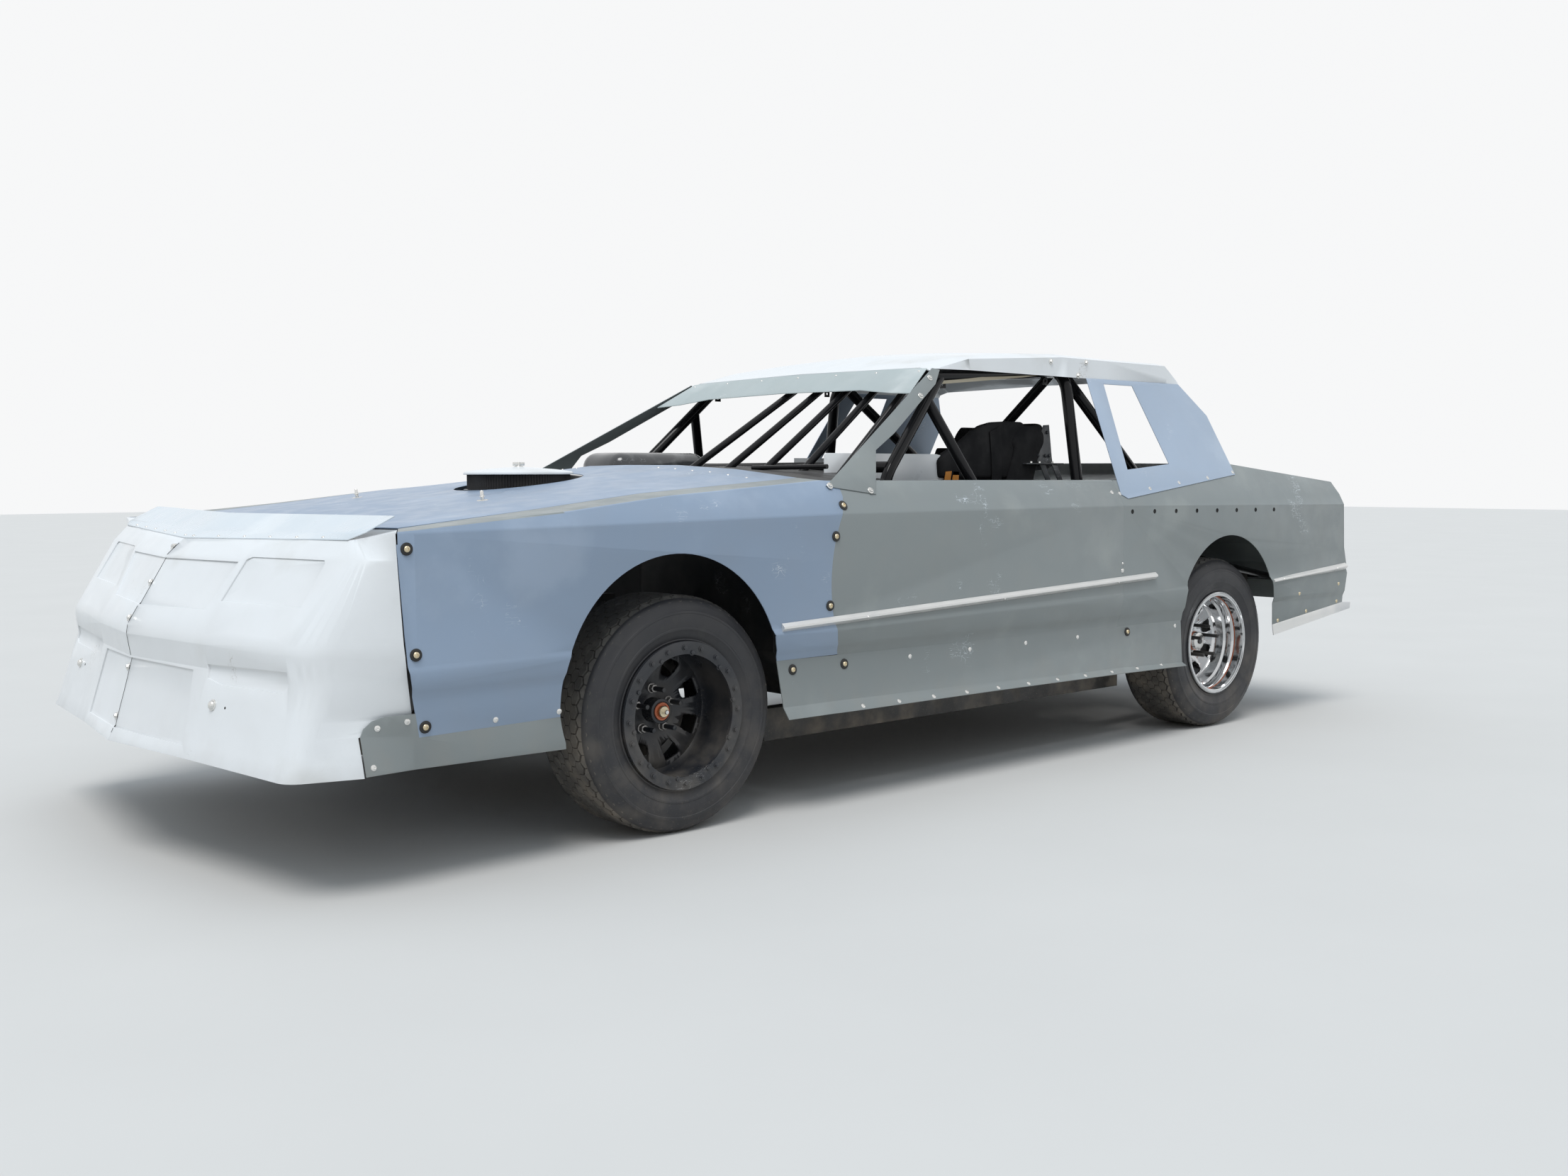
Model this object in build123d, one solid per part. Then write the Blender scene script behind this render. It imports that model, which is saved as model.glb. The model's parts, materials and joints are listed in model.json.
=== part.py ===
"""A short-track stock car: sheet-metal body over a tube cage and a rail chassis.

Millimetres. +X points forward, +Y to the car's left, +Z up, and the ground is Z = 0.
Everything is drawn about the middle of the wheelbase, and moved as a whole at the end so that
the origin lies under the middle of the car's length.
"""

from collections import namedtuple
from math import acos, cos, degrees, pi, radians, sin, tan

import os

from build123d import *

# Driving dimensions
WHEELBASE = 2743.0
FRONT_OVERHANG = 1290.5
REAR_OVERHANG = 999.5
AXLE_X = WHEELBASE / 2
SHIFT_X = (FRONT_OVERHANG - REAR_OVERHANG) / 2
RUN = 0.3

# Wheels and tyres
TYRE_R = 342.0
TYRE_IN_Y = 640.0
TYRE_OUT_Y = 890.0
TYRE_WAIST_R = 266.0
TREAD_HALF = 100.0
SHOULDER = 20.0
SHOULDER_IN = 7.0
BEAD_R = 196.0
BEAD_HALF = 104.0
TYRE_SIDES = 72
RIM_R = 190.5
RIM_FLANGE_R = 206.0
RIM_HALF = 118.0
FLANGE_LIP = 7.0
DISC_OFFSET = -30.0
DISC_WALL = 8.0
DISC_BOWL = 14.0
DISC_BOWL_R = 150.0
DISC_BACK = 22.0
SLOT_COUNT = 8
SLOT_R = 128.0
SLOT_LENGTH = 52.0
SLOT_WIDTH = 26.0
RING_R = 213.0
RING_INNER_R = 176.0
RING_WALL = 10.0
HUB_R = 62.0
HUB_RISE = 20.0
HUB_CAP_R = 36.0
HUB_CAP_LENGTH = 46.0
SPINDLE_R = 22.0
SPINDLE_CLEARANCE = 0.05
SPINDLE_REACH = 34.0
WHEEL_Y = (TYRE_IN_Y + TYRE_OUT_Y) / 2

# Steering
KINGPIN_Y = 632.0
KNUCKLE_HALF = 90.0
KNUCKLE_WIDTH = 24.0
KNUCKLE_IN = 20.0
KNUCKLE_OUT = 26.0
BALL_R = 22.0
BALL_HEIGHT = 30.0
BRAKE_R = 145.0
BRAKE_WALL = 24.0

# Body skin
SKIN = 3.0
FLANGE_Y = 820.0
HOOD_Y = 780.0
PLATE_LEAN = 0.5626
SIDE_Y = 940.0

# The left side from the top flange down to the hem, front to rear. The heights are those of the
# flange's inner edge, belt corner, upper crease and lower crease; tuck, flare and hem are (y, z).
Station = namedtuple("Station", "x drawn_in flange_y flange_z belt_z upper_z lower_z tuck flare hem")
SIDE_STATIONS = (
    Station(2372, 5, 780, 881, 885, 878, 556, (896, 443), (906, 398), (934, 306)),
    Station(2230, 3, 780, 889, 893, 886, 557, (925, 470), (914, 385), (918, 305)),
    Station(1785, 0, 780, 935, 930, 889, 568, (926, 474), (915, 388), (917, 301)),
    Station(1437, 0, 780, 974, 967, 897, 560, (915, 472), (925, 334), (946, 299)),
    Station(838, 0, 780, 1016, 1008, 906, 549, (915, 470), (925, 331), (946, 297)),
    Station(765, 0, 820, 1007, 1005, 906, 549, (915, 470), (925, 330), (946, 296)),
    Station(90, 0, 820, 1006, 1005, 910, 560, (915, 468), (925, 321), (946, 294)),
    Station(-645, 0, 820, 1003, 1001, 908, 582, (915, 462), (925, 306), (946, 288)),
    Station(-1062, 0, 820, 1012, 1009, 902, 596, (915, 455), (925, 293), (946, 282)),
    Station(-1500, 0, 820, 1066, 1064, 896, 570, (928, 482), (926, 372), (925, 325)),
    Station(-2390, 0, 820, 976, 974, 889, 624, (928, 502), (926, 460), (925, 418)),
)

# Seams and edges of the side skin, as (x, z)
NOSE_SEAM = ((2281, 895), (2262, 640), (2254, 556), (2217, 382))
FENDER_HEM_REAR = (1803, 389)
FRONT_SKIRT = ((2230, 443), (2304, 443), (2337, 434), (2359, 417), (2368, 398), (2368, 250))
FENDER_SEAM_LOW = (776, 440)
FENDER_SEAM_MID = (836, 758)
FENDER_SEAM_TOP = (765, 957)
FENDER_TOP_FRONT = ((2278, 940), (2192, 779))
DOOR_SEAM_X = -645.0
TUCK_LINE = ((1045, 473), (-1060, 457))
TAIL_LINE = ((-2247, 991), (-2270, 934), (-2266, 890), (-2277, 700), (-2302, 618), (-2296, 457))
QUARTER_HEM_FRONT = (-1690, 392.5)
REAR_SKIRT = ((-1690, 345), (-2369, 425), (-2371, 452))

# Wheel arches
FRONT_ARCH_CENTRE = (1430, 430)
FRONT_ARCH_R = 378.0
FRONT_ARCH_FOOT = (
    (1808, 430), (1803, 389), (1792, 385), (1788, 200), (1007, 200), (1042, 475), (1095, 600), (1430, 600)
)
REAR_ARCH_FRONT = ((-1058, 200), (-1067, 609))
REAR_ARCH_TOP = (-1362, 780)
REAR_ARCH_BACK = ((-1672, 591), (-1690, 562), (-1713, 490), (-1720, 390), (-1733, 345), (-1740, 200))

# Rub rails: each end as (x, z of the middle, height), and how far they stand out
RUB_RAILS = (((1045, 574, 30), (-848, 642, 30)), ((-1687, 581, 18), (-2288, 617, 31)))
RUB_OUT = 14.0
RUB_CREST = 3.0

# The moulded nose, bottom to top: height on the centre line, rise to the corner, x on the centre
# line and at the bend, the corner, its radius, and where the level meets the fender.
NoseLevel = namedtuple("NoseLevel", "z rise centre_x bend_x corner radius side")
NOSE_LEVELS = (
    NoseLevel(310, -7, 2662, 2602, (2546, 880), 55, (2371, 929)),
    NoseLevel(346, -1, 2646, 2588, (2532, 872), 60, (2371, 917)),
    NoseLevel(398, -1, 2632, 2574, (2518, 870), 65, (2371, 900)),
    NoseLevel(443, -2, 2619, 2562, (2505, 868), 70, (2233, 908)),
    NoseLevel(536, -6, 2594, 2538, (2480, 864), 100, (2252, 926)),
    NoseLevel(598, -6, 2604, 2547, (2488, 862), 120, (2261, 934)),
    NoseLevel(624, -8, 2600, 2543, (2484, 862), 120, (2264, 934)),
    NoseLevel(805, 15, 2492, 2437, (2352, 862), 90, (2278, 935)),
    NoseLevel(900, 0, 2389, 2347, (2308, 760), 300, (2284, 936)),
)
NOSE_BEND_Y = 400.0
NOSE_ROUND_STEPS = 5
NOSE_TOP = ((-40, 853), (0, 853), (785, 867), (937, 890), (1000, 899), (1000, 1000), (-40, 1000))

# Top flange of the nose, from the centre out: y, then (x, z) of its front and rear edges
NOSE_FLANGE = (
    (-20, (2441, 853), (2298, 883)),
    (262, (2404, 857.5), (2266, 885)),
    (515, (2368, 862), (2234, 887)),
    (785, (2327, 867), (2197, 890)),
    (860, (2297, 878), (2238, 890)),
    (933, (2281.5, 889), (2277, 889.6)),
)

# Pressed-in panels of the nose, as (y, z): head lamp, upper middle, lower middle, lower side
NOSE_RECESS = 4.5
NOSE_RECESSES = (
    ((397, 704), (419, 810), (438, 817), (744, 819), (753, 812), (753, 706)),
    ((-15, 676), (-15, 801), (387, 803), (340, 680)),
    ((-15, 532), (335, 525), (364, 337), (-15, 345)),
    ((405, 545), (782, 556), (785, 514), (769, 503), (483, 499), (411, 510)),
)

# The raised lip over the joint of nose and hood: y, then (x, z) of its front, crease and rear
NOSE_LIP = (
    (0, (2440, 853), (2386, 871), (2310, 919)),
    (262, (2404, 857.5), (2348, 873), (2278, 920)),
    (515, (2369, 862), (2324, 877), (2247, 921.5)),
    (785, (2331, 867), (2322, 880), (2214, 923)),
    (820, (2298, 886), (2280, 895), (2222, 923)),
)

# Hood: x, z at the edge, z on the centre line; then its front and rear edges as (x, y)
HOOD_STATIONS = (
    (830, 1016.5, 1072),
    (1437, 974.5, 995),
    (1785, 935.5, 950),
    (2202, 894, 898),
    (2330, 881, 882),
)
HOOD_FRONT = ((2192, 785), (2192, 779), (2230, 515), (2262, 262), (2292, 0))
HOOD_REAR = ((923, 0), (835, 785))
HOOD_HOLE_R = 208.0
EDGE_GAP = 1.0
CROWN_STEPS = 6
CLEANER_X = 1359.0
CLEANER_Y = 10.0
CLEANER_R = 178.0
CLEANER_BOTTOM = 972.0
CLEANER_TOP = 1036.0
CLEANER_LID_RISE = 18.0
CLEANER_BOSS_R = 40.0
CLEANER_STUD_R = 9.0
CLEANER_STUD = 16.0

# Cage
HOOP_X = -690.0
HOOP_HALF = 690.0
HOOP_TOP_HALF = 630.0
HOOP_TOP_Z = 1432.0
HOOP_LEAN = 10.0
HOOP_WAIST_Z = 1000.0
HOOP_CROSS_Z = 800.0
HALO_X = 95.0
HALO_Z = HOOP_TOP_Z - 64.0
HALO_REAR_X = HOOP_X + 34.0
HALO_REAR_HALF = HOOP_TOP_HALF - 30.0
HALO_REAR_Z = HOOP_TOP_Z - 18.0
HALO_BEND_R = 60.0
DASH_Z = 1050.0
DASH_X = 353.0
POST_R = 20.0
POST_TOP = (HALO_X - 75.0, HOOP_TOP_HALF - 3.0, HALO_Z - 2.0)
POST_KNEE = (DASH_X + 12.0, 712.0, 1030.0)
POST_FOOT_X = 560.0
TUBE_R = 22.0
THIN_TUBE_R = 19.0
BEND_R = 110.0
STAY_KNEE = (-1330.0, 560.0, 960.0)
STAY_FOOT_X = -1700.0
TAIL_TUBE_FRONT = (-1600.0, 494.0, 690.0)
TAIL_TUBE_REAR = (-2252.0, 600.0, 556.0)
TAIL_TUBE_R = 15.0
NET_TAB_X = (0.0, -600.0)
NET_TAB_HALF = 14.0
NET_TAB_DROP = 46.0
NET_TAB_WALL = 4.0
NET_HOLE_R = 5.5
ROOF_TAB_X = -300.0
ROOF_TAB = (24.0, 12.0)
WINDSCREEN_BARS = 5
BAR_R = 13.0
BAR_INSET = 47.0
BAR_KNEE_X = 600.0
BAR_KNEE_Z = 1068.0
BAR_SWEEP = 0.316

# Door bars: height, how far they bow out past the hoop, x of the front end
DOOR_BARS = ((880, 90, 430), (700, 110, 459), (520, 110, 488))
DOOR_BAR_Y = 700.0
DOOR_BAR_BENDS = (-300.0, 200.0)
DOOR_STRUT_X = (-260.0, 160.0)
BRACE_FOOT_X = -62.0
BRACE_SHARE = 0.25

# Roof stations: x, then how far the edge, the shoulder and the crown stand over the hoop's top
ROOF_GAP = 1.0
ROOF_SHOULDER_Y = 612.0
ROOF_STATIONS = (
    (105, -41, -35, -27),
    (-93, -38, 13, 20),
    (-626, -40, 45, 56),
    (-1303, -42, 43, 52),
    (-1393, -44, -18, -12),
)
ROOF_EDGE_Z = HOOP_TOP_Z - 41.0

# Visor from the middle out: root and lower edge as (x, y, z)
VISOR_ROOT_X = ROOF_STATIONS[0][0] + RUN
VISOR = (
    ((VISOR_ROOT_X, 0, ROOF_EDGE_Z + 12), (200, 0, ROOF_EDGE_Z - 61)),
    ((VISOR_ROOT_X, 425, ROOF_EDGE_Z + 8), (210, 425, ROOF_EDGE_Z - 67)),
    ((VISOR_ROOT_X, 590, ROOF_EDGE_Z + 5), (228, 590, ROOF_EDGE_Z - 84)),
    ((VISOR_ROOT_X, 648, ROOF_EDGE_Z + 2), (253, 706, ROOF_EDGE_Z - 91)),
)

# Window plates, as (x, z) in the plane that the side's upper slope goes on in
A_PLATE = (
    (105, ROOF_EDGE_Z), (70, ROOF_EDGE_Z - 5), (122, ROOF_EDGE_Z - 57),
    (427, 1158), (543, 1102), (621, 963), (822, 989),
)
C_PLATE = (
    (-767, ROOF_EDGE_Z), (-656, 949), (-688, 933), (-1496, 1020), (-1494, 1263), (-1390, ROOF_EDGE_Z)
)
C_WINDOW = ((-864, ROOF_EDGE_Z - 19), (-1052, ROOF_EDGE_Z - 19), (-1058, 1062), (-765, 1040))

# Deck lid: x, z at the edge, z on the centre line
DECK_STATIONS = ((-1543, 1062.5, 1074), (-2243, 991.5, 998))

# Panel inside the right rear window
INNER_PANEL_Y = FLANGE_Y - RUN
INNER_PANEL = ((-600, 985), (-600, 1100), (-1380, 1100), (-1519, 985))

# Cowl: x, z at the edge, z on the centre line; its hump: x, half width at foot and top, top z
COWL_HALF = 760.0
COWL_STATIONS = ((826, 1004, 1050), (430, 1010, 1058))
HUMP_Y = -300.0
HUMP_FOOT_Z = 1000.0
HUMP = ((820, 120, 85, 1092), (470, 100, 65, 1100))

# Chassis rails
RAIL_Y = 668.0
RAIL_W = 51.0
RAIL_H = 102.0
RAIL_BOTTOM = 186.0
RAIL_FRONT_X = 900.0
RAIL_REAR_X = -960.0
KICK_Y = 470.0
KICK_HALF = 25.0
KICK_HEIGHT = 90.0
KICK_FOOT = 192.0
KICK_BOTTOM = 500.0
KICK_FRONT_X = -1120.0
KICK_REAR_X = -2230.0
CROSS_WIDTH = 60.0
CROSS_TOP = 262.0
CLIP_Y = 395.0
CLIP_HALF = 25.0
CLIP_BOTTOM = 260.0
CLIP_HEIGHT = 100.0
CLIP_FOOT = 192.0
CLIP_SLOPE_X = (1250.0, 1420.0)
CLIP_FRONT_X = 2240.0
TOWER_HALF = 100.0
TOWER_TOP = 660.0
BEAM_HALF = 70.0
BEAM_Z = (172.0, 240.0)
BUMPER_X = CLIP_FRONT_X - 40.0
BUMPER_Z = (340.0, 720.0)
STRUT_X = 1560.0
STRUT_TOP = 815.0

# Floor, firewall and bulkhead
TIN = 2.0
FLOOR_Z = RAIL_BOTTOM + RAIL_H + RUN + TIN
FLOOR_HALF = 645.0
FIREWALL_X = 815.0
TUB_LINE = ((FIREWALL_X, 1000), (FIREWALL_X, 460), (640, FLOOR_Z), (-930, FLOOR_Z), (-1085, 960), (-1540, 985))
TUNNEL_HALF = 150.0
TUNNEL_TOP_HALF = 110.0
TUNNEL_Z = 520.0
TUNNEL_REAR_X = -1000.0
TUB_HOLES = (
    ((-1285, -900), (KICK_Y - 30, KICK_Y + 30), (FLOOR_Z - 10, KICK_BOTTOM + 120)),
    ((-1385, -1275), (515, 600), (900, 1050)),
)

# Seat: the padded shell's line and its side plate, as (x, z)
SEAT_Y = 360.0
SEAT_HALF = 202.0
SEAT_PAD = 24.0
SEAT_WALL = 6.0
SEAT_LINE = ((40, 530), (-350, 450), (-640, 1180))
SEAT_SIDE = ((40, 480), (-400, 400), (-655, 1185), (-480, 1160), (-340, 800), (20, 640))
SEAT_HEAD = ((-655, 1120), (-655, 1218), (-500, 1222), (-430, 1135))
SEAT_SHOULDER = ((-70, 1127), (136, 1127), (262, 1216), (262, 1300), (-70, 1300))
SEAT_HEAD_IN = (105.0, 10.0)
SEAT_LEG_Y = 150.0

# Engine, drive and rear axle
ENGINE_HALF = 270.0
ENGINE_FRONT_X = 1690.0
ENGINE_REAR_X = 1060.0
ENGINE_BOTTOM = 262.0
ENGINE_TOP = 790.0
RISER_R = 62.0
GEARBOX_REAR_X = 560.0
GEARBOX_TAIL = 200.0
GEARBOX_R = (150.0, 92.0, 60.0)
SHAFT_R = 38.0
SHAFT_Z = 400.0
AXLE_TUBE_R = 38.0
AXLE_END = 15.0
DIFF_R = 135.0
SNOUT_R = 52.0
SNOUT = 70.0
SNOUT_RISE = 20.0
TRAILING_ARM = ((20.0, 560.0, 0.0), (-970.0, 610.0, 260.0))
TRAILING_ARM_R = 24.0
SPRING_R = 52.0
SPRING_Y = KICK_Y - KICK_HALF - SPRING_R - RUN
SPRING_BACK = 60.0
ARM_R = 13.0
ARM_SPANS = (110.0, 80.0)
FRONT_SPRING = ((0.0, 520.0, 232.0), (20.0, 462.0, 640.0))
FRONT_SPRING_R = 42.0
FUEL_CELL = ((KICK_REAR_X + 50 + RUN, -1790), (-330, 330), (330, 620))
RADIATOR_X = (2030.0, 2090.0)
RADIATOR_TOP = 700.0

# Steering wheel and column
WHEEL_CENTRE = (150.0, 350.0, 830.0)
COLUMN_TILT = 17.0
COLUMN_R = 16.0
COLUMN_REACH = (27.0 + RUN, 690.1)
STEERING_R = 178.0
STEERING_RIM_R = 13.0
STEERING_RIM_SIDES = 8
SPOKE_TURNS = (90, 210, 330)
SPOKE = (26.0, 5.0)
STEERING_HUB_R = 34.0
STEERING_HUB = (-27.0, 3.0)


def block(x, y, z):
    """A box from three (low, high) pairs."""
    size = [pair[1] - pair[0] for pair in (x, y, z)]
    middle = [(pair[0] + pair[1]) / 2 for pair in (x, y, z)]
    return Pos(*middle) * Box(*size)


def ring(points):
    """A closed wire through points."""
    return Wire.make_polygon([Vector(*p) for p in points], close=True)


def through_x(points, x_low, x_high):
    """A prism along X over a polygon of (y, z)."""
    face = Face(ring([(x_low, y, z) for y, z in points]))
    return Solid.extrude(face, Vector(x_high - x_low, 0, 0))


def through_y(points, y_low, y_high):
    """A prism along Y over a polygon of (x, z)."""
    face = Face(ring([(x, y_low, z) for x, z in points]))
    return Solid.extrude(face, Vector(0, y_high - y_low, 0))


def through_z(points, z_low, z_high):
    """A prism along Z over a polygon of (x, y)."""
    face = Face(ring([(x, y, z_low) for x, y in points]))
    return Solid.extrude(face, Vector(0, 0, z_high - z_low))


def mirrored(shape):
    return mirror(shape, about=Plane.XZ)


def both_sides(*pieces):
    """Left-hand pieces with their mirror images, as separate solids of one node."""
    return Compound([*pieces, *[mirrored(piece) for piece in pieces]])


def moved_aside(points, depth):
    """An open line of 2D points, moved to its right by depth with its corners kept sharp."""
    line = [Vector(*p) for p in points]
    result = []
    for index, point in enumerate(line):
        before = line[index] - line[index - 1] if index else line[1] - line[0]
        after = line[index + 1] - point if index + 1 < len(line) else before
        right_before = Vector(before.Y, -before.X).normalized()
        right_after = Vector(after.Y, -after.X).normalized()
        middle = (right_before + right_after).normalized()
        result.append(point + middle * (depth / middle.dot(right_before)))
    return [(p.X, p.Y) for p in result]


def grown(points, amount):
    """A clockwise closed outline, moved outward."""
    points = list(points)
    return moved_aside(points[-1:] + points + points[:1], -amount)[1:-1]


def sheet(points, depth):
    """A closed section: an open line and the same line moved aside."""
    return list(points) + moved_aside(points, depth)[::-1]


def loft_through(outlines):
    return Solid.make_loft([ring(points) for points in outlines], ruled=True)


def rod(start, end, radius):
    """A straight round bar."""
    start, end = Vector(*start), Vector(*end)
    place = Plane(origin=start, z_dir=end - start)
    return Solid.make_cylinder(radius, (end - start).length, place)


def bent_tube(points, radius, bend):
    """A round bar along straight runs joined by arcs."""
    pieces = []
    for run in FilletPolyline(*points, radius=bend).edges():
        start = run @ 0
        if run.geom_type == GeomType.LINE:
            pieces.append(rod(start, run @ 1, radius))
        else:
            centre = run.arc_center
            section = Face(Wire.make_circle(radius, Plane(origin=start, z_dir=run % 0)))
            axis = Axis(centre, (start - centre).cross(run % 0))
            pieces.append(revolve(section, axis, degrees(run.length / run.radius)))
    return fused(pieces)


def fused(pieces):
    """Several solids joined into one shape."""
    first, *rest = pieces
    return first.fuse(*rest) if rest else first


def on_side(point, side):
    """A point of the left side, on the left (1) or the right (-1)."""
    return point[0], side * point[1], point[2]


def side_line(station):
    """One station's outer line from the top flange down to the hem, as (y, z)."""
    outer_y = SIDE_Y - station.drawn_in
    return [
        (station.flange_y, station.flange_z),
        (outer_y - (station.belt_z - station.upper_z) * PLATE_LEAN, station.belt_z),
        (outer_y, station.upper_z),
        (outer_y, station.lower_z),
        station.tuck,
        station.flare,
        station.hem,
    ]


def side_value(x, column):
    """A column of the side stations at x, between its two nearest stations."""
    for front, rear in zip(SIDE_STATIONS, SIDE_STATIONS[1:]):
        if rear.x <= x <= front.x:
            share = (front.x - x) / (front.x - rear.x)
            low, high = getattr(front, column), getattr(rear, column)
            return low + share * (high - low)
    return getattr(SIDE_STATIONS[-1], column)


def side_skin():
    """The whole left side as one sheet, before it is cut along its seams."""
    return loft_through(
        [[(station.x, y, z) for y, z in sheet(side_line(station), SKIN)] for station in SIDE_STATIONS]
    )


def inside_of_body():
    """The space between the two side skins, to trim the cross panels with."""
    outlines = []
    for station in SIDE_STATIONS:
        left = moved_aside(side_line(station), SKIN + RUN)
        outline = left + [(-y, z) for y, z in reversed(left)]
        outlines.append([(station.x, y, z) for y, z in outline])
    return loft_through(outlines)


def outline_wire(arc, corners, y):
    """A closed wire in a plane of constant y: an arc through three points, then straight runs."""
    place = [Vector(x, y, z) for x, z in arc]
    round_part = Edge.make_three_point_arc(*place)
    turns = [place[-1], *[Vector(x, y, z) for x, z in corners], place[0]]
    return Wire([round_part, *[Edge.make_line(a, b) for a, b in zip(turns, turns[1:])]])


def front_arch():
    x, z = FRONT_ARCH_CENTRE
    round_part = Solid.make_cylinder(FRONT_ARCH_R, 400, Plane((x, 700, z), z_dir=(0, 1, 0)))
    return round_part + through_y(FRONT_ARCH_FOOT, 700, 1100)


def rear_arch():
    foot, start = REAR_ARCH_FRONT
    end, *back = REAR_ARCH_BACK
    return Solid.extrude(Face(outline_wire((start, REAR_ARCH_TOP, end), (*back, foot), 700)), Vector(0, 400, 0))


def seam_region():
    """Everything ahead of the curved seam between fender and door."""
    arc = (FENDER_SEAM_LOW, FENDER_SEAM_MID, FENDER_SEAM_TOP)
    corners = ((FENDER_SEAM_TOP[0], 1300), (2500, 1300), (2500, 0), (FENDER_SEAM_LOW[0], 0))
    return Solid.extrude(Face(outline_wire(arc, corners, 600)), Vector(0, 500, 0))


def side_panels():
    """Fender, door, quarter, rocker and the two skirts, cut from the one side skin."""
    skin = side_skin() - front_arch() - rear_arch()
    ahead = seam_region()
    low, high = 600, 1100
    tuck_front, tuck_rear = TUCK_LINE
    door_low = (DOOR_SEAM_X, tuck_rear[1] + 3)
    tail_top, *tail_rest = TAIL_LINE
    (top_x, top_y), (flange_x, flange_y) = FENDER_TOP_FRONT
    areas = {
        "fender": [
            (NOSE_SEAM[0][0], 1300), *NOSE_SEAM, FENDER_HEM_REAR, (FRONT_ARCH_CENTRE[0], 396), tuck_front,
            (600, tuck_front[1]), (600, 1300),
        ],
        "front_skirt": [*FRONT_SKIRT, (1500, 200), (1500, 396), FENDER_HEM_REAR, NOSE_SEAM[-1]],
        "door": [(1000, 1300), (1000, tuck_front[1]), door_low, (DOOR_SEAM_X, 1300)],
        "quarter": [
            (DOOR_SEAM_X, 1300), door_low, tuck_rear, (-1200, 392), QUARTER_HEM_FRONT,
            *reversed(tail_rest), tail_top, (tail_top[0], 1300),
        ],
        "rear_skirt": [QUARTER_HEM_FRONT, *REAR_SKIRT, TAIL_LINE[-1]],
        "rocker": [
            (tuck_front[0], 200), tuck_front, (1000, tuck_front[1]), door_low, tuck_rear, (tuck_rear[0], 200),
        ],
    }
    panels = {name: skin & through_y(area, low, high) for name, area in areas.items()}
    nose_joint = [(top_x, top_y + 20), (top_x, top_y), (flange_x, flange_y), (flange_x, 700), (2500, 700),
                  (2500, top_y + 20)]
    panels["fender"] = (panels["fender"] & ahead) - through_z(nose_joint, 860, 1000)
    panels["door"] = panels["door"] - ahead
    return panels


def rub_rails():
    """V-shaped strips riveted to both sides along the lower crease."""
    rails = []
    for ends in RUB_RAILS:
        outlines = []
        for x, z, height in ends:
            face = SIDE_Y - side_value(x, "drawn_in") + RUN
            out = face + RUB_OUT
            outlines.append([
                (x, face, z - height / 2), (x, face, z + height / 2), (x, out, z + RUB_CREST), (x, out, z - RUB_CREST),
            ])
        rails.append(loft_through(outlines))
    return both_sides(*rails)


def corner_round(before, corner, after, radius):
    """Points along the round that takes the place of a corner between two others."""
    corner = Vector(*corner)
    back = (Vector(*before) - corner).normalized()
    ahead = (Vector(*after) - corner).normalized()
    half = acos(back.dot(ahead)) / 2
    centre = corner + (back + ahead).normalized() * (radius / sin(half))
    start = corner + back * (radius / tan(half)) - centre
    sweep = degrees(pi - 2 * half) * (1 if back.cross(ahead).Z < 0 else -1)
    turns = [sweep * step / NOSE_ROUND_STEPS for step in range(NOSE_ROUND_STEPS + 1)]
    return [(point.X, point.Y) for point in (centre + start.rotate(Axis.Z, turn) for turn in turns)]


def nose_line(level):
    """One level of the nose from the fender round the corner to just past the centre seam."""
    bend = (level.bend_x, NOSE_BEND_Y)
    past_y = NOSE_FLANGE[0][0]
    past_x = level.centre_x + (level.bend_x - level.centre_x) * past_y / NOSE_BEND_Y
    return [level.side, *corner_round(level.side, level.corner, bend, level.radius), bend, (past_x, past_y)]


def nose_band(near, far):
    """The nose's wall between two depths under its face."""
    outlines = []
    for level in NOSE_LEVELS:
        line = nose_line(level)
        section = moved_aside(line, near) + moved_aside(line, far)[::-1]
        outlines.append([(x, y, level.z + level.rise * y / level.corner[1]) for x, y in section])
    return loft_through(outlines)


def nose_flange():
    """The sheet that goes on from the nose's top edge to the hood, under the lip."""
    outlines = []
    for y, (front_x, front_z), (rear_x, rear_z) in NOSE_FLANGE:
        outlines.append([
            (front_x, y, front_z), (rear_x, y, rear_z), (rear_x, y, rear_z - SKIN), (front_x, y, front_z - SKIN),
        ])
    return loft_through(outlines)


def nose_half():
    """The left half of the moulded nose, with its pressed-in panels."""
    half = nose_band(0, SKIN)
    dishes = [through_x(outline, 2250, 2800) for outline in NOSE_RECESSES]
    rims = [through_x(grown(outline, SKIN), 2250, 2800) for outline in NOSE_RECESSES]
    backing = nose_band(1, SKIN + NOSE_RECESS)
    cutter = nose_band(-1, NOSE_RECESS)
    for rim_region in rims:
        half = half + (backing & rim_region)
    for dish in dishes:
        half = half - (cutter & dish)
    half = half - through_x(NOSE_TOP, 2100, 2800) + nose_flange()
    return half & block((2100, 2800), (RUN, 1000), (250, 1000))


def nose_lip():
    """The white strip over the joint of nose and hood, riveted along its front edge."""
    outlines = []
    for y, *line in NOSE_LIP:
        top = [(x, y, z + RUN + SKIN) for x, z in line]
        outlines.append(top + [(x, y, z + RUN) for x, z in reversed(line)])
    left = loft_through(outlines)
    return left + mirrored(left)


def crowned_sheet(stations, half_width, thickness):
    """A sheet across the car, crowned at each station (x, z at the edge, z at the centre)."""
    outlines = []
    for x, edge_z, centre_z in stations:
        across = [half_width * (1 - 2 * step / CROWN_STEPS) for step in range(CROWN_STEPS + 1)]
        top = [(y, edge_z + (centre_z - edge_z) * (1 - (y / half_width) ** 2)) for y in across]
        outlines.append([(x, y, z) for y, z in top] + [(x, y, z - thickness) for y, z in reversed(top)])
    return loft_through(outlines)


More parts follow.
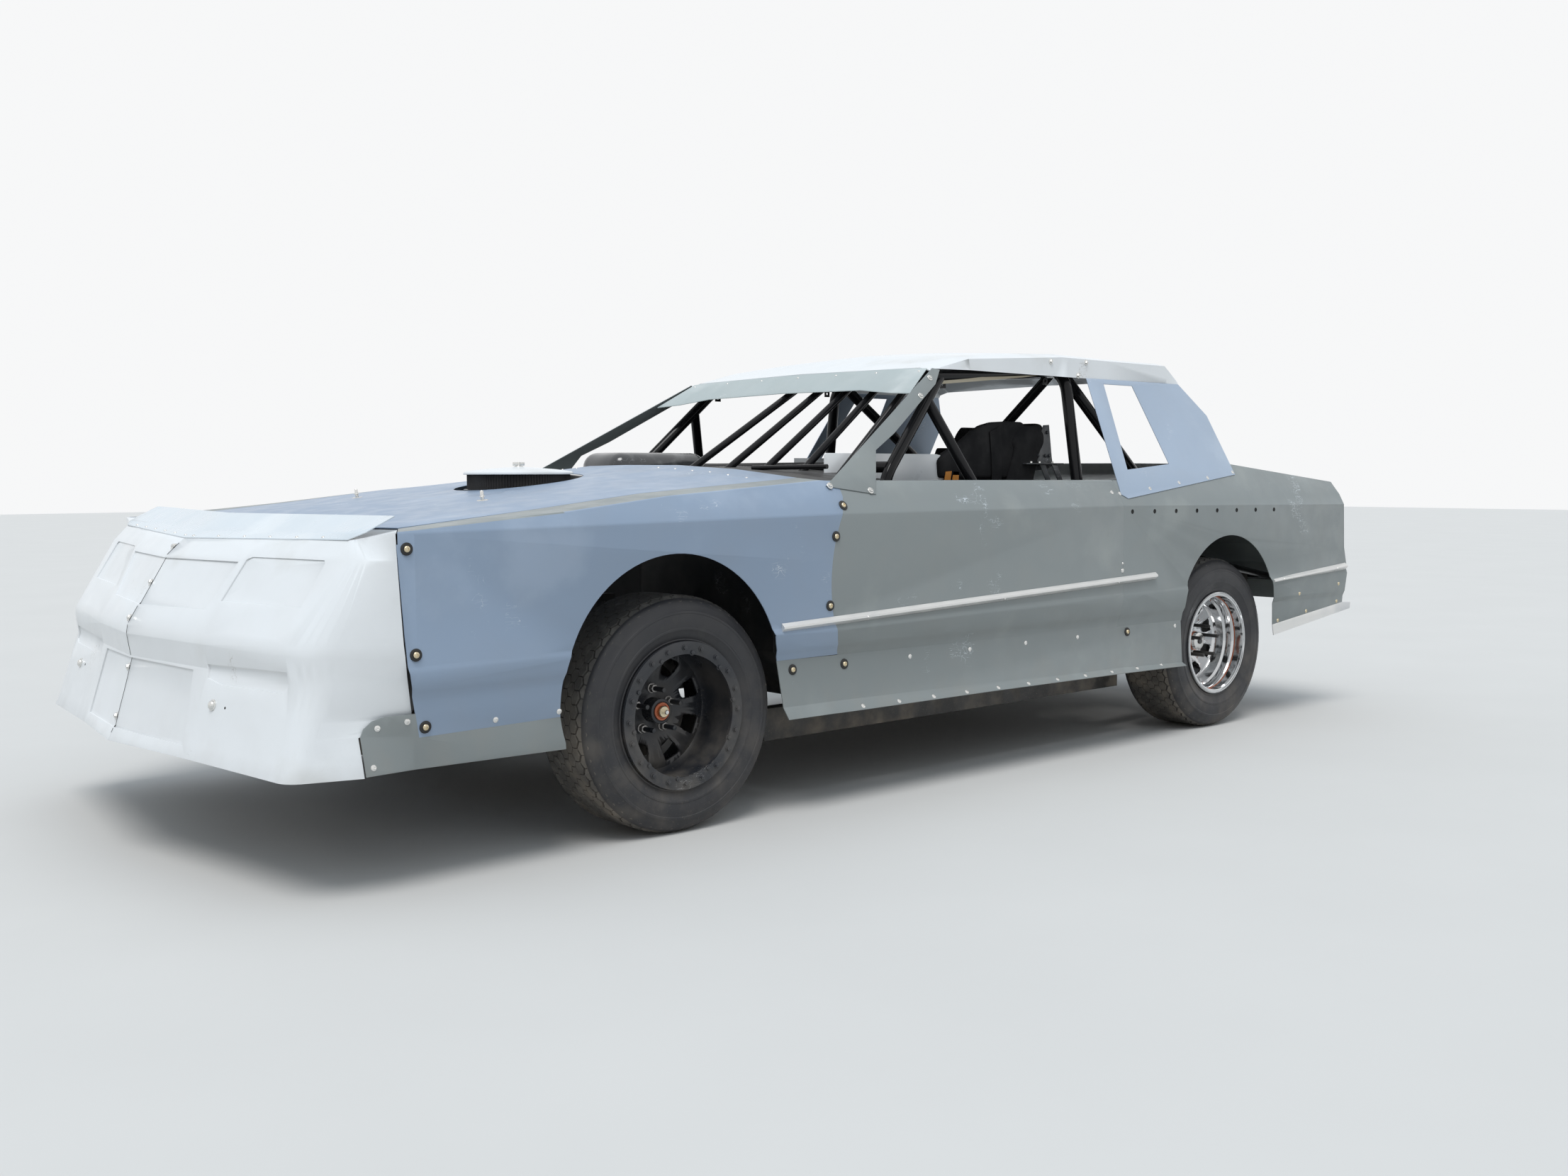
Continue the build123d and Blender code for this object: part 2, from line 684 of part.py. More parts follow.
def hood():
    panel = crowned_sheet(HOOD_STATIONS, HOOD_Y - EDGE_GAP, SKIN)
    left = [*HOOD_REAR, *HOOD_FRONT]
    right = [(x, -y) for x, y in reversed(left) if y]
    hole = Solid.make_cylinder(HOOD_HOLE_R, 400, Plane((CLEANER_X, CLEANER_Y, 800)))
    return (panel & through_z(left + right, 700, 1200)) - hole


def roof():
    outlines = []
    for x, edge_rise, shoulder_rise, crown_rise in ROOF_STATIONS:
        edge_z, shoulder_z, crown_z = (HOOP_TOP_Z + rise for rise in (edge_rise, shoulder_rise, crown_rise))
        edge_y = SIDE_Y - (edge_z - side_value(x, "upper_z")) * PLATE_LEAN - ROOF_GAP
        brow_y, brow_z = edge_y - 4, shoulder_z - 12
        outer = [(edge_y, edge_z), (brow_y, brow_z), (ROOF_SHOULDER_Y, shoulder_z), (0, crown_z)]
        inner = [(edge_y - SKIN, edge_z), (brow_y - SKIN, brow_z - SKIN), (ROOF_SHOULDER_Y - 2, shoulder_z - SKIN),
                 (0, crown_z - SKIN)]
        across = [line + [(-y, z) for y, z in reversed(line[:-1])] for line in (outer, inner)]
        outlines.append([(x, y, z) for y, z in across[0] + across[1][::-1]])
    return loft_through(outlines)


def visor():
    """The sheet that droops from the roof's front edge, deepest at its ends."""
    left = loft_through([
        [root, edge, (edge[0], edge[1], edge[2] - SKIN), (root[0], root[1], root[2] - SKIN)] for root, edge in VISOR
    ])
    return left + mirrored(left)


def plate(points, window=None):
    """A flat sheet riveted on the side's upper slope, leaning in to the roof."""
    front_x, rear_x = max(x for x, z in points), min(x for x, z in points)
    front_z, rear_z = side_value(front_x, "upper_z"), side_value(rear_x, "upper_z")
    slope = (front_z - rear_z) / (front_x - rear_x)

    def at(point):
        x, z = point
        return x, SIDE_Y + RUN - (z - rear_z - (x - rear_x) * slope) * PLATE_LEAN, z

    outward = Vector(0, 1, PLATE_LEAN).normalized() * SKIN
    panel = Solid.extrude(Face(ring([at(point) for point in points])), outward)
    if window:
        hole = Solid.extrude(Face(ring([at(point) for point in window])), outward * 3)
        panel -= hole.moved(Location(outward * -1))
    return panel


def deck_lid():
    return crowned_sheet(DECK_STATIONS, FLANGE_Y - EDGE_GAP, SKIN)


def tail_panel():
    wall = through_y(sheet(TAIL_LINE, -SKIN), -SIDE_Y, SIDE_Y)
    return wall & inside_of_body()


def inner_panel():
    return through_y(INNER_PANEL, -INNER_PANEL_Y, -INNER_PANEL_Y + TIN)


def cowl():
    """The black sheet between hood and windscreen, with its hump on the right."""
    hump = loft_through([
        [(x, HUMP_Y - foot, HUMP_FOOT_Z), (x, HUMP_Y + foot, HUMP_FOOT_Z), (x, HUMP_Y + top, top_z), (x, HUMP_Y - top, top_z)]
        for x, foot, top, top_z in HUMP
    ])
    return crowned_sheet(COWL_STATIONS, COWL_HALF, TIN) + hump


def tunnel_section():
    """The tunnel's outer line over the floor, as (y, z)."""
    under = FLOOR_Z - TIN
    left = [(-TUNNEL_HALF, under), (-TUNNEL_HALF, FLOOR_Z), (-TUNNEL_TOP_HALF, TUNNEL_Z)]
    return left + [(-y, z) for y, z in reversed(left)]


def cabin_tub():
    """Floor, firewall and rear bulkhead in sheet, with a tunnel over the drive shaft."""
    shell = through_y(sheet(TUB_LINE, -TIN), -FLOOR_HALF, FLOOR_HALF)
    outer = tunnel_section()
    (left_y, under), *_ = outer
    way = [(left_y, under - 30), *outer[1:-1], (-left_y, under - 30)]
    shell = shell - loft_through([[(x, y, z) for y, z in way] for x in (FIREWALL_X + 40, TUNNEL_REAR_X - 185)])
    shell = shell + loft_through(
        [[(x, y, z) for y, z in sheet(outer, TIN)] for x in (FIREWALL_X + 10, TUNNEL_REAR_X)]
    )
    for x, y, z in TUB_HOLES:
        shell = shell - block(x, y, z) - block(x, (-y[1], -y[0]), z)
    return shell


def rail_section(x, y, half, z_low, height):
    """The four corners of a box section at x."""
    return [(x, y - half, z_low), (x, y + half, z_low), (x, y + half, z_low + height), (x, y - half, z_low + height)]


def frame_rails():
    """Main rails under the cabin, kicked up over the rear axle, with cross members."""
    inner = RAIL_Y - RAIL_W / 2
    pieces = [
        block((RAIL_REAR_X, RAIL_REAR_X + CROSS_WIDTH), (-inner - 1, inner + 1), (KICK_FOOT, KICK_FOOT + KICK_HEIGHT)),
        block((-CROSS_WIDTH / 2, CROSS_WIDTH / 2), (-inner - 1, inner + 1), (KICK_FOOT, CROSS_TOP)),
        block((RAIL_FRONT_X - CROSS_WIDTH, RAIL_FRONT_X), (-inner - 1, inner + 1), (KICK_FOOT, CROSS_TOP)),
        block((KICK_REAR_X, KICK_REAR_X + 50), (-KICK_Y, KICK_Y), (KICK_BOTTOM + 10, KICK_BOTTOM + KICK_HEIGHT - 10)),
    ]
    for side in (1, -1):
        y = side * RAIL_Y
        pieces.append(
            block((RAIL_REAR_X, RAIL_FRONT_X), (y - RAIL_W / 2, y + RAIL_W / 2), (RAIL_BOTTOM, RAIL_BOTTOM + RAIL_H))
        )
        pieces.append(loft_through([
            rail_section(RAIL_REAR_X + CROSS_WIDTH, side * KICK_Y, KICK_HALF, KICK_FOOT, KICK_HEIGHT),
            rail_section(KICK_FRONT_X, side * KICK_Y, KICK_HALF, KICK_BOTTOM, KICK_HEIGHT),
            rail_section(KICK_REAR_X, side * KICK_Y, KICK_HALF, KICK_BOTTOM, KICK_HEIGHT),
        ]))
    return fused(pieces)


def front_clip():
    """Front rails with the suspension cross member and the bumper tubes behind the nose."""
    slope_low, slope_high = CLIP_SLOPE_X
    pieces = [block((AXLE_X - BEAM_HALF, AXLE_X + BEAM_HALF), (-CLIP_Y, CLIP_Y), BEAM_Z)]
    for z in BUMPER_Z:
        pieces.append(rod((BUMPER_X, -CLIP_Y, z), (BUMPER_X, CLIP_Y, z), TUBE_R))
    for side in (1, -1):
        y = side * CLIP_Y
        pieces += [
            loft_through([
                rail_section(RAIL_FRONT_X + RUN, y, CLIP_HALF, CLIP_FOOT, CLIP_HEIGHT),
                rail_section(slope_low, y, CLIP_HALF, CLIP_FOOT, CLIP_HEIGHT),
                rail_section(slope_high, y, CLIP_HALF, CLIP_BOTTOM, CLIP_HEIGHT),
                rail_section(CLIP_FRONT_X, y, CLIP_HALF, CLIP_BOTTOM, CLIP_HEIGHT),
            ]),
            block((AXLE_X - TOWER_HALF, AXLE_X + TOWER_HALF), (y - CLIP_HALF, y + CLIP_HALF), (BEAM_Z[1] - 20, TOWER_TOP)),
            rod((BUMPER_X, y, CLIP_BOTTOM + 80), (BUMPER_X, y, BUMPER_Z[1]), TUBE_R),
            rod((STRUT_X, y, CLIP_BOTTOM + 80), (STRUT_X, y, STRUT_TOP + 5), TUBE_R),
            rod((STRUT_X, y, STRUT_TOP), (BUMPER_X, y, BUMPER_Z[1] - 5), TUBE_R),
        ]
    return fused(pieces)


def control_arms():
    """Lower and upper arms of both front wheels, and the springs between."""
    root_y = CLIP_Y + CLIP_HALF + RUN
    reach = KNUCKLE_HALF + RUN + BALL_HEIGHT / 2
    arms = []
    for side in (1, -1):
        for z, span in zip((TYRE_R - reach, TYRE_R + reach), ARM_SPANS):
            for x in (AXLE_X - span, AXLE_X + span):
                arms.append(rod((x, side * root_y, z), (AXLE_X, side * KINGPIN_Y, z), ARM_R))
            ball = Plane((AXLE_X, side * KINGPIN_Y, z - BALL_HEIGHT / 2))
            arms.append(Solid.make_cylinder(BALL_R, BALL_HEIGHT, ball))
        low, high = [(AXLE_X + x, side * y, z) for x, y, z in FRONT_SPRING]
        arms.append(rod(low, high, FRONT_SPRING_R))
    return fused(arms)


def cage_hoop():
    """The main hoop behind the driver, with its diagonal."""
    z_foot = RAIL_BOTTOM + RAIL_H + RUN
    left = [(HOOP_X, HOOP_HALF - 15, z_foot), (HOOP_X, HOOP_HALF, HOOP_WAIST_Z),
            (HOOP_X + HOOP_LEAN, HOOP_TOP_HALF, HOOP_TOP_Z)]
    hoop = bent_tube(left + [(x, -y, z) for x, y, z in reversed(left)], TUBE_R, BEND_R)
    diagonal = rod((HOOP_X + 8, HOOP_TOP_HALF - 60, HOOP_TOP_Z - 20), (HOOP_X, 10 - HOOP_HALF, 360), THIN_TUBE_R)
    cross = rod((HOOP_X, HOOP_HALF - 6, HOOP_CROSS_Z), (HOOP_X, 6 - HOOP_HALF, HOOP_CROSS_Z), THIN_TUBE_R)
    return fused([hoop, diagonal, cross])


def net_tab(x):
    """A bored tab under the halo's left side for the window net's hook."""
    share = (x - HALO_REAR_X) / (HALO_X - HALO_REAR_X)
    y = HALO_REAR_HALF + (HOOP_TOP_HALF - HALO_REAR_HALF) * share
    z = HALO_REAR_Z + (HALO_Z - HALO_REAR_Z) * share
    hole_z = z - NET_TAB_DROP + NET_TAB_HALF
    tab = block(
        (x - NET_TAB_HALF, x + NET_TAB_HALF), (y - NET_TAB_WALL / 2, y + NET_TAB_WALL / 2), (z - NET_TAB_DROP, z)
    )
    return tab - rod((x, y - 10, hole_z), (x, y + 10, hole_z), NET_HOLE_R)


def roof_tab():
    """A block on the halo's left side that carries the roof."""
    length, width = ROOF_TAB
    front_x = ROOF_TAB_X + length / 2
    (ahead_x, _, ahead_rise, _), (behind_x, _, behind_rise, _) = ROOF_STATIONS[1:3]
    rise = ahead_rise + (behind_rise - ahead_rise) * (ahead_x - front_x) / (ahead_x - behind_x)
    side_y = ROOF_SHOULDER_Y - 2
    return block((ROOF_TAB_X - length / 2, front_x), (side_y - width, side_y), (HALO_Z + 20, HOOP_TOP_Z + rise - SKIN - RUN))


def cage_front():
    """Halo over the door openings, dash bar, front posts, and the tabs for roof and window nets."""
    left = [(HALO_REAR_X, HALO_REAR_HALF, HALO_REAR_Z), (HALO_X, HOOP_TOP_HALF, HALO_Z)]
    halo = bent_tube(left + [(x, -y, z) for x, y, z in reversed(left)], TUBE_R, HALO_BEND_R)
    halo = halo + roof_tab() + mirrored(roof_tab())
    foot = (POST_FOOT_X, RAIL_Y + 2, RAIL_BOTTOM + RAIL_H + RUN)
    post = bent_tube((POST_TOP, POST_KNEE, foot), POST_R, BEND_R) - halo
    dash_half = POST_KNEE[1] - 7
    dash = rod((DASH_X, dash_half, DASH_Z), (DASH_X, -dash_half, DASH_Z), THIN_TUBE_R) - post - mirrored(post)
    tabs = [net_tab(x) - halo for x in NET_TAB_X]
    return Compound([halo, dash, *both_sides(post, *tabs).solids()])


def windscreen_bars():
    """Thin bars from the halo down to the cowl, on the driver's half of the windscreen."""
    raised = [(x, edge_z + RUN, centre_z + RUN) for x, edge_z, centre_z in COWL_STATIONS]
    under_cowl = crowned_sheet(raised, COWL_HALF, 300)
    bars = []
    for index in range(WINDSCREEN_BARS):
        y = (HOOP_TOP_HALF - BAR_INSET) * index / (WINDSCREEN_BARS - 1)
        top = Vector(HALO_X + 4, y, HALO_Z - 6)
        knee = Vector(BAR_KNEE_X - BAR_SWEEP * y, y, BAR_KNEE_Z)
        bars.append(rod(top, top + (knee - top) * 1.2, BAR_R) - under_cowl)
    return Compound(bars)


def cage_sides():
    """Door bars between hoop and front posts, with a brace up to each post, both sides."""
    bars, braces = [], []
    rear_bend, front_bend = DOOR_BAR_BENDS
    low, high = DOOR_BARS[-1], DOOR_BARS[0]
    for side in (1, -1):
        for z, bow, front_x in DOOR_BARS:
            y, out = side * DOOR_BAR_Y, side * (HOOP_HALF + bow + 20)
            line = [(HOOP_X + 20, y, z), (rear_bend, out, z), (front_bend, out, z), (front_x, y, z)]
            bars.append(bent_tube(line, TUBE_R - 2, BEND_R))
        for x in DOOR_STRUT_X:
            foot = (x, side * (HOOP_HALF + low[1] - 2), low[0] + 2)
            bars.append(rod(foot, (x, side * (HOOP_HALF + high[1] - 2), high[0]), TUBE_R - 6))
        brace_foot = on_side((BRACE_FOOT_X, HOOP_HALF + high[1] + 20, high[0]), side)
        top, knee = Vector(*on_side(POST_TOP, side)), Vector(*on_side(POST_KNEE, side))
        braces.append(rod(brace_foot, top + (knee - top) * BRACE_SHARE, THIN_TUBE_R))
    bars = fused(bars)
    return Compound([*bars.solids(), *[brace - bars for brace in braces]])


def cage_rear():
    """Stays from the hoop's top to the rear rails, and the tubes round the tail."""
    knee_x, knee_y, knee_z = STAY_KNEE
    tail_x, tail_y, tail_z = TAIL_TUBE_REAR
    pieces = [
        rod((knee_x, knee_y - 4, knee_z - 10), (knee_x, 4 - knee_y, knee_z - 10), THIN_TUBE_R),
        rod((tail_x, tail_y, tail_z), (tail_x, -tail_y, tail_z), TAIL_TUBE_R),
    ]
    line = [(HOOP_X - 30, HOOP_TOP_HALF - 30, HOOP_TOP_Z - 30), STAY_KNEE,
            (STAY_FOOT_X, KICK_Y, KICK_BOTTOM + KICK_HEIGHT + RUN)]
    for side in (1, -1):
        pieces.append(bent_tube([on_side(point, side) for point in line], TUBE_R, BEND_R))
        pieces.append(rod(on_side(TAIL_TUBE_FRONT, side), on_side(TAIL_TUBE_REAR, side), TAIL_TUBE_R))
    return fused(pieces)


def seat():
    """A sheet aluminium race seat with its legs and the plates round the driver's head."""
    low, high = SEAT_Y - SEAT_HALF, SEAT_Y + SEAT_HALF
    head_low, head_high = low + SEAT_HEAD_IN[0], high - SEAT_HEAD_IN[1]
    pieces = [
        through_y(sheet(SEAT_LINE, SEAT_PAD), low + 1, high - 1),
        through_y(SEAT_SIDE, low, low + SEAT_WALL),
        through_y(SEAT_SIDE, high - SEAT_WALL, high),
        through_y(SEAT_HEAD, head_low, head_low + SEAT_WALL),
        through_y(SEAT_HEAD, head_high - SEAT_WALL, head_high),
        block((-655, -625), (head_low, head_high), (1120, 1218)),
    ]
    for y in (SEAT_Y - SEAT_LEG_Y, SEAT_Y + SEAT_LEG_Y):
        pieces.append(block((-330, -40), (y - SEAT_WALL, y + SEAT_WALL), (FLOOR_Z, 500)))
    return fused(pieces) - through_x(SEAT_SHOULDER, -700, -300)


def engine():
    lump = block((ENGINE_REAR_X, ENGINE_FRONT_X), (-ENGINE_HALF, ENGINE_HALF), (ENGINE_BOTTOM, ENGINE_TOP))
    foot = Plane((CLEANER_X, CLEANER_Y, ENGINE_TOP))
    return lump + Solid.make_cylinder(RISER_R, CLEANER_BOTTOM - RUN - ENGINE_TOP, foot)


def air_cleaner():
    def at(z):
        return Plane((CLEANER_X, CLEANER_Y, z))

    base = Solid.make_cylinder(CLEANER_R, CLEANER_TOP - CLEANER_BOTTOM, at(CLEANER_BOTTOM))
    dome = Solid.make_cone(CLEANER_R, CLEANER_BOSS_R, CLEANER_LID_RISE, at(CLEANER_TOP))
    stud = Solid.make_cylinder(CLEANER_STUD_R, CLEANER_STUD, at(CLEANER_TOP + CLEANER_LID_RISE - 2))
    return base + dome + stud


def driveline():
    """Bell housing, gearbox and drive shaft."""
    front_r, middle_r, tail_r = GEARBOX_R
    front_x, middle_x = ENGINE_REAR_X - RUN, GEARBOX_REAR_X + GEARBOX_TAIL
    snout_x = DIFF_R + SNOUT - AXLE_X
    housing = Solid.make_cone(front_r, middle_r, front_x - middle_x, Plane((front_x, 0, SHAFT_Z), z_dir=(-1, 0, 0)))
    tail = Solid.make_cone(middle_r, tail_r, GEARBOX_TAIL, Plane((middle_x, 0, SHAFT_Z), z_dir=(-1, 0, 0)))
    shaft = rod((GEARBOX_REAR_X + 5, 0, SHAFT_Z), (snout_x + RUN, 0, TYRE_R + SNOUT_RISE), SHAFT_R)
    return housing + tail + shaft


def rear_axle():
    """Axle tube with differential, trailing arms, springs, brakes and wheel spindles."""
    z = TYRE_R
    end_y = KINGPIN_Y + AXLE_END
    spindle_y = WHEEL_Y + DISC_OFFSET - DISC_WALL / 2 + SPINDLE_REACH
    arm_front, arm_rear = TRAILING_ARM
    spring_x = -AXLE_X - SPRING_BACK
    pieces = [
        rod((-AXLE_X, -end_y, z), (-AXLE_X, end_y, z), AXLE_TUBE_R),
        Solid.make_sphere(DIFF_R, Plane((-AXLE_X, 0, z))),
        rod((-AXLE_X, 0, z + SNOUT_RISE - 2), (-AXLE_X + DIFF_R + SNOUT, 0, z + SNOUT_RISE), SNOUT_R),
    ]
    for side in (1, -1):
        spring_y = side * SPRING_Y
        pieces += [
            rod((-AXLE_X, side * (end_y - 5), z), (-AXLE_X, side * spindle_y, z), SPINDLE_R),
            rod((-AXLE_X, side * (KINGPIN_Y - 10), z), (-AXLE_X, side * (KINGPIN_Y + BRAKE_WALL), z), BRAKE_R),
            rod((-AXLE_X + arm_front[0], side * arm_front[1], z), on_side(arm_rear, side), TRAILING_ARM_R),
            rod((spring_x, spring_y, z + 30), (spring_x, spring_y, KICK_BOTTOM + 60), SPRING_R),
            rod((-AXLE_X, spring_y, z), (spring_x, spring_y, z + 60), TRAILING_ARM_R),
        ]
    return fused(pieces)


def fuel_cell():
    return block(*FUEL_CELL)


def radiator():
    half = CLIP_Y - CLIP_HALF - RUN
    return block(RADIATOR_X, (-half, half), (CLIP_BOTTOM + 40, RADIATOR_TOP))


def steering_axis():
    tilt = radians(COLUMN_TILT)
    return Vector(-cos(tilt), 0, sin(tilt))


def steering_column():
    axis = steering_axis()
    near, far = COLUMN_REACH
    return rod(Vector(*WHEEL_CENTRE) - axis * far, Vector(*WHEEL_CENTRE) - axis * near, COLUMN_R)


def steering_wheel():
    place = Plane(origin=WHEEL_CENTRE, z_dir=steering_axis())
    section = Plane.XZ * Pos(STEERING_R, 0, 0) * RegularPolygon(STEERING_RIM_R, STEERING_RIM_SIDES)
    pieces = [place * revolve(section, Axis.Z)]
    for turn in SPOKE_TURNS:
        pieces.append(place * Rot(0, 0, turn) * Pos(STEERING_R / 2, 0, 0) * Box(STEERING_R, *SPOKE))
    low, high = STEERING_HUB
    pieces.append(place * Pos(0, 0, (low + high) / 2) * Cylinder(STEERING_HUB_R, high - low))
    return fused(pieces)


def many_sided(radius, y):
    """A regular polygon about the axle's direction, with a corner at its lowest point."""
    turns = [2 * pi * side / TYRE_SIDES for side in range(TYRE_SIDES)]
    return [(radius * sin(turn), y, TYRE_R - radius * cos(turn)) for turn in turns]


def tyre():
    """One tyre about X = 0 and Y = 0, as a ring of flat facets."""
    half = (TYRE_OUT_Y - TYRE_IN_Y) / 2
    line = [(BEAD_R, BEAD_HALF), (TYRE_WAIST_R, half), (TYRE_R - SHOULDER, half - SHOULDER_IN), (TYRE_R, TREAD_HALF)]
    line += [(radius, -y) for radius, y in reversed(line)]
    bore = loft_through([many_sided(BEAD_R, y) for y in (BEAD_HALF + 10, -BEAD_HALF - 10)])
    return loft_through([many_sided(radius, y) for radius, y in line]) - bore


def turned(line, x, side):
    """A section of (radius, offset outward) turned about the axle of the wheel at x."""
    points = [(x + r, side * (WHEEL_Y + out), TYRE_R) for r, out in line]
    return revolve(Face(ring(points)), Axis((x, 0, TYRE_R), (0, 1, 0)))


def rim(x, side, ringed):
    """A steel wheel: barrel, slotted disc and hub, with a bolted bead ring on the front ones."""
    seat_r = RIM_R + 5
    barrel = [
        (RIM_FLANGE_R, -RIM_HALF), (RIM_FLANGE_R, FLANGE_LIP - RIM_HALF), (seat_r, FLANGE_LIP + 2 - RIM_HALF),
        (seat_r, RIM_HALF - FLANGE_LIP - 2), (RIM_FLANGE_R, RIM_HALF - FLANGE_LIP), (RIM_FLANGE_R, RIM_HALF),
        (RIM_R, RIM_HALF), (RIM_R, -RIM_HALF),
    ]
    face = DISC_OFFSET
    bore = SPINDLE_R + SPINDLE_CLEARANCE
    foot_r = HUB_R + HUB_RISE
    disc = [
        (bore, face - DISC_BACK), (HUB_R, face - DISC_BACK), (foot_r, face - DISC_WALL),
        (DISC_BOWL_R, face + DISC_BOWL), (RIM_R + 1, face + 2), (RIM_R + 1, face + 2 + DISC_WALL),
        (DISC_BOWL_R + 2, face + DISC_BOWL + DISC_WALL + 2), (foot_r, face + DISC_WALL / 2),
        (HUB_R, face), (HUB_CAP_R, face), (HUB_CAP_R, face + HUB_CAP_LENGTH), (0, face + HUB_CAP_LENGTH),
        (0, face + SPINDLE_REACH), (bore, face + SPINDLE_REACH),
    ]
    wheel = turned(barrel, x, side) + turned(disc, x, side)
    slot = SlotOverall(SLOT_LENGTH, SLOT_WIDTH)
    for index in range(SLOT_COUNT):
        angle = 2 * pi * (index + 0.5) / SLOT_COUNT
        place = Plane(
            origin=(x + SLOT_R * cos(angle), side * (WHEEL_Y + DISC_OFFSET + 80), TYRE_R + SLOT_R * sin(angle)),
            x_dir=(-sin(angle), 0, cos(angle)), z_dir=(0, -side, 0),
        )
        wheel = wheel - extrude(place * slot, 150)
    if ringed:
        out = RIM_HALF + RING_WALL
        wheel = wheel + turned([(RING_INNER_R, RIM_HALF), (RING_R, RIM_HALF), (RING_R, out), (RING_INNER_R, out)], x, side)
    return wheel


def knuckle(side):
    """The steered upright: kingpin block, spindle and brake."""
    y = side * KINGPIN_Y
    width = sorted((y - side * KNUCKLE_IN, y + side * KNUCKLE_OUT))
    upright = block((AXLE_X - KNUCKLE_WIDTH, AXLE_X + KNUCKLE_WIDTH), width, (TYRE_R - KNUCKLE_HALF, TYRE_R + KNUCKLE_HALF))
    reach = WHEEL_Y + DISC_OFFSET - DISC_WALL / 2 + SPINDLE_REACH
    brake_y = KINGPIN_Y + KNUCKLE_OUT
    spindle = rod((AXLE_X, y, TYRE_R), (AXLE_X, side * reach, TYRE_R), SPINDLE_R)
    brake = rod((AXLE_X, side * brake_y, TYRE_R), (AXLE_X, side * (brake_y + BRAKE_WALL), TYRE_R), BRAKE_R)
    return fused([upright, spindle, brake])


def notch(parts, name, *against):
    """Trims a piece where it meets others, as tube ends are coped and sheet is cut to fit."""
    for other in against:
        parts[name] = parts[name] - parts[other]


def body_panels():
    """The outer skin of the car by name."""
    left = side_panels()
    return {
        "nose": both_sides(nose_half()),
        "fenders": both_sides(left["fender"]),
        "doors": both_sides(left["door"]),
        "quarters": both_sides(left["quarter"]),
        "lower_panels": both_sides(left["rocker"], left["front_skirt"]),
        "rear_skirts": both_sides(left["rear_skirt"]),
        "a_plates": both_sides(plate(A_PLATE)),
        "c_plates": both_sides(plate(C_PLATE, C_WINDOW)),
    }


def whole_car():
    """Every piece of the car by name."""
    parts = body_panels()
    for make in (nose_lip, rub_rails, hood, roof, visor, deck_lid, tail_panel, inner_panel, cowl, cabin_tub,
                 frame_rails, front_clip, control_arms, cage_hoop, cage_front, cage_sides, cage_rear, seat, engine,
                 air_cleaner, driveline, rear_axle, fuel_cell, radiator, steering_column, steering_wheel):
        parts[make.__name__] = make()
    notch(parts, "cage_hoop", "frame_rails")
    notch(parts, "cage_front", "frame_rails", "cage_hoop")
    notch(parts, "cage_sides", "cage_hoop", "cage_front")
    notch(parts, "cage_rear", "frame_rails", "cage_hoop")
    notch(parts, "control_arms", "front_clip")
    notch(parts, "driveline", "rear_axle")
    parts["windscreen_bars"] = Compound([bar - parts["cage_front"] for bar in windscreen_bars()])
    ring_of_rubber = tyre()
    for side, name in ((1, "left"), (-1, "right")):
        parts[f"knuckle_{name}"] = knuckle(side)
        for x, end, ringed in ((AXLE_X, "front", True), (-AXLE_X, "rear", False)):
            parts[f"tyre_{end}_{name}"] = ring_of_rubber.moved(Location((x, side * WHEEL_Y, 0)))
            parts[f"rim_{end}_{name}"] = rim(x, side, ringed)
    return parts


def main():
    os.makedirs("parts", exist_ok=True)
    for name, shape in whole_car().items():
        export_step(shape.moved(Location((-SHIFT_X, 0, 0))), f"parts/{name}.step")


if __name__ == "__main__":
    main()
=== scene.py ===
"""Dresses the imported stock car: soft edges, paint and wear, fasteners, wheels, cabin pieces and light.

Metres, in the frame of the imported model: +X forward, +Y to the car's left, +Z up, ground at zero.
Places and sizes in every class and table are in millimetres, drawn about the middle of the wheelbase as in the
part's source; sections are (radius, height) and side views are (x, z).
"""

from __future__ import annotations

import json
import logging
import math
from contextlib import contextmanager
from dataclasses import dataclass, field
from enum import Enum
from typing import Iterable, Iterator, Sequence

import bmesh
import bpy
from mathutils import Matrix, Quaternion, Vector
from mathutils.bvhtree import BVHTree

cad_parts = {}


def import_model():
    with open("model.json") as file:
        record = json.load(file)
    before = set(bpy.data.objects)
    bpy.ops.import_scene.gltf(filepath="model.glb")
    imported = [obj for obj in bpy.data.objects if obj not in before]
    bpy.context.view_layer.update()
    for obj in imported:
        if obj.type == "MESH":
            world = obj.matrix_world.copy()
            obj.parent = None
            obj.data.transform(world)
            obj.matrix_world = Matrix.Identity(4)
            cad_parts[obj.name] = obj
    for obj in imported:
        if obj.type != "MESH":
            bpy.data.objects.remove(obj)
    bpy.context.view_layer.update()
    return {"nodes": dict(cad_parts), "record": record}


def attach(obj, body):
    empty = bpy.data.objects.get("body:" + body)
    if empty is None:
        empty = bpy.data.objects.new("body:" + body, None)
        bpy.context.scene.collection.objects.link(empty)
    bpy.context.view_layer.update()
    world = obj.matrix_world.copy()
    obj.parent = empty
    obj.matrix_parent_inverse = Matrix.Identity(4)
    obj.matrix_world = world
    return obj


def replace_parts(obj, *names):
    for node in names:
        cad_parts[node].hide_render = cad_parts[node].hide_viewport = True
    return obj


LOG = logging.getLogger("stock_car")
MM = 0.001
MERGE = 1e-5
SHIFT_X = -145.5
AXLE_X = 1371.5
WHEEL_Y = 765.0
TYRE_R = 342.0
CENTRE = (0, 0, 0)
UP = (0, 0, 1)

BMesh = bmesh.types.BMesh
Color = Sequence[float]
Object = bpy.types.Object
Socket = bpy.types.NodeSocket


def place(x: float, y: float, z: float) -> Vector:
    """The point in metres for millimetres ahead of the wheelbase's middle, to the left and over the ground."""
    return Vector((x + SHIFT_X, y, z)) * MM


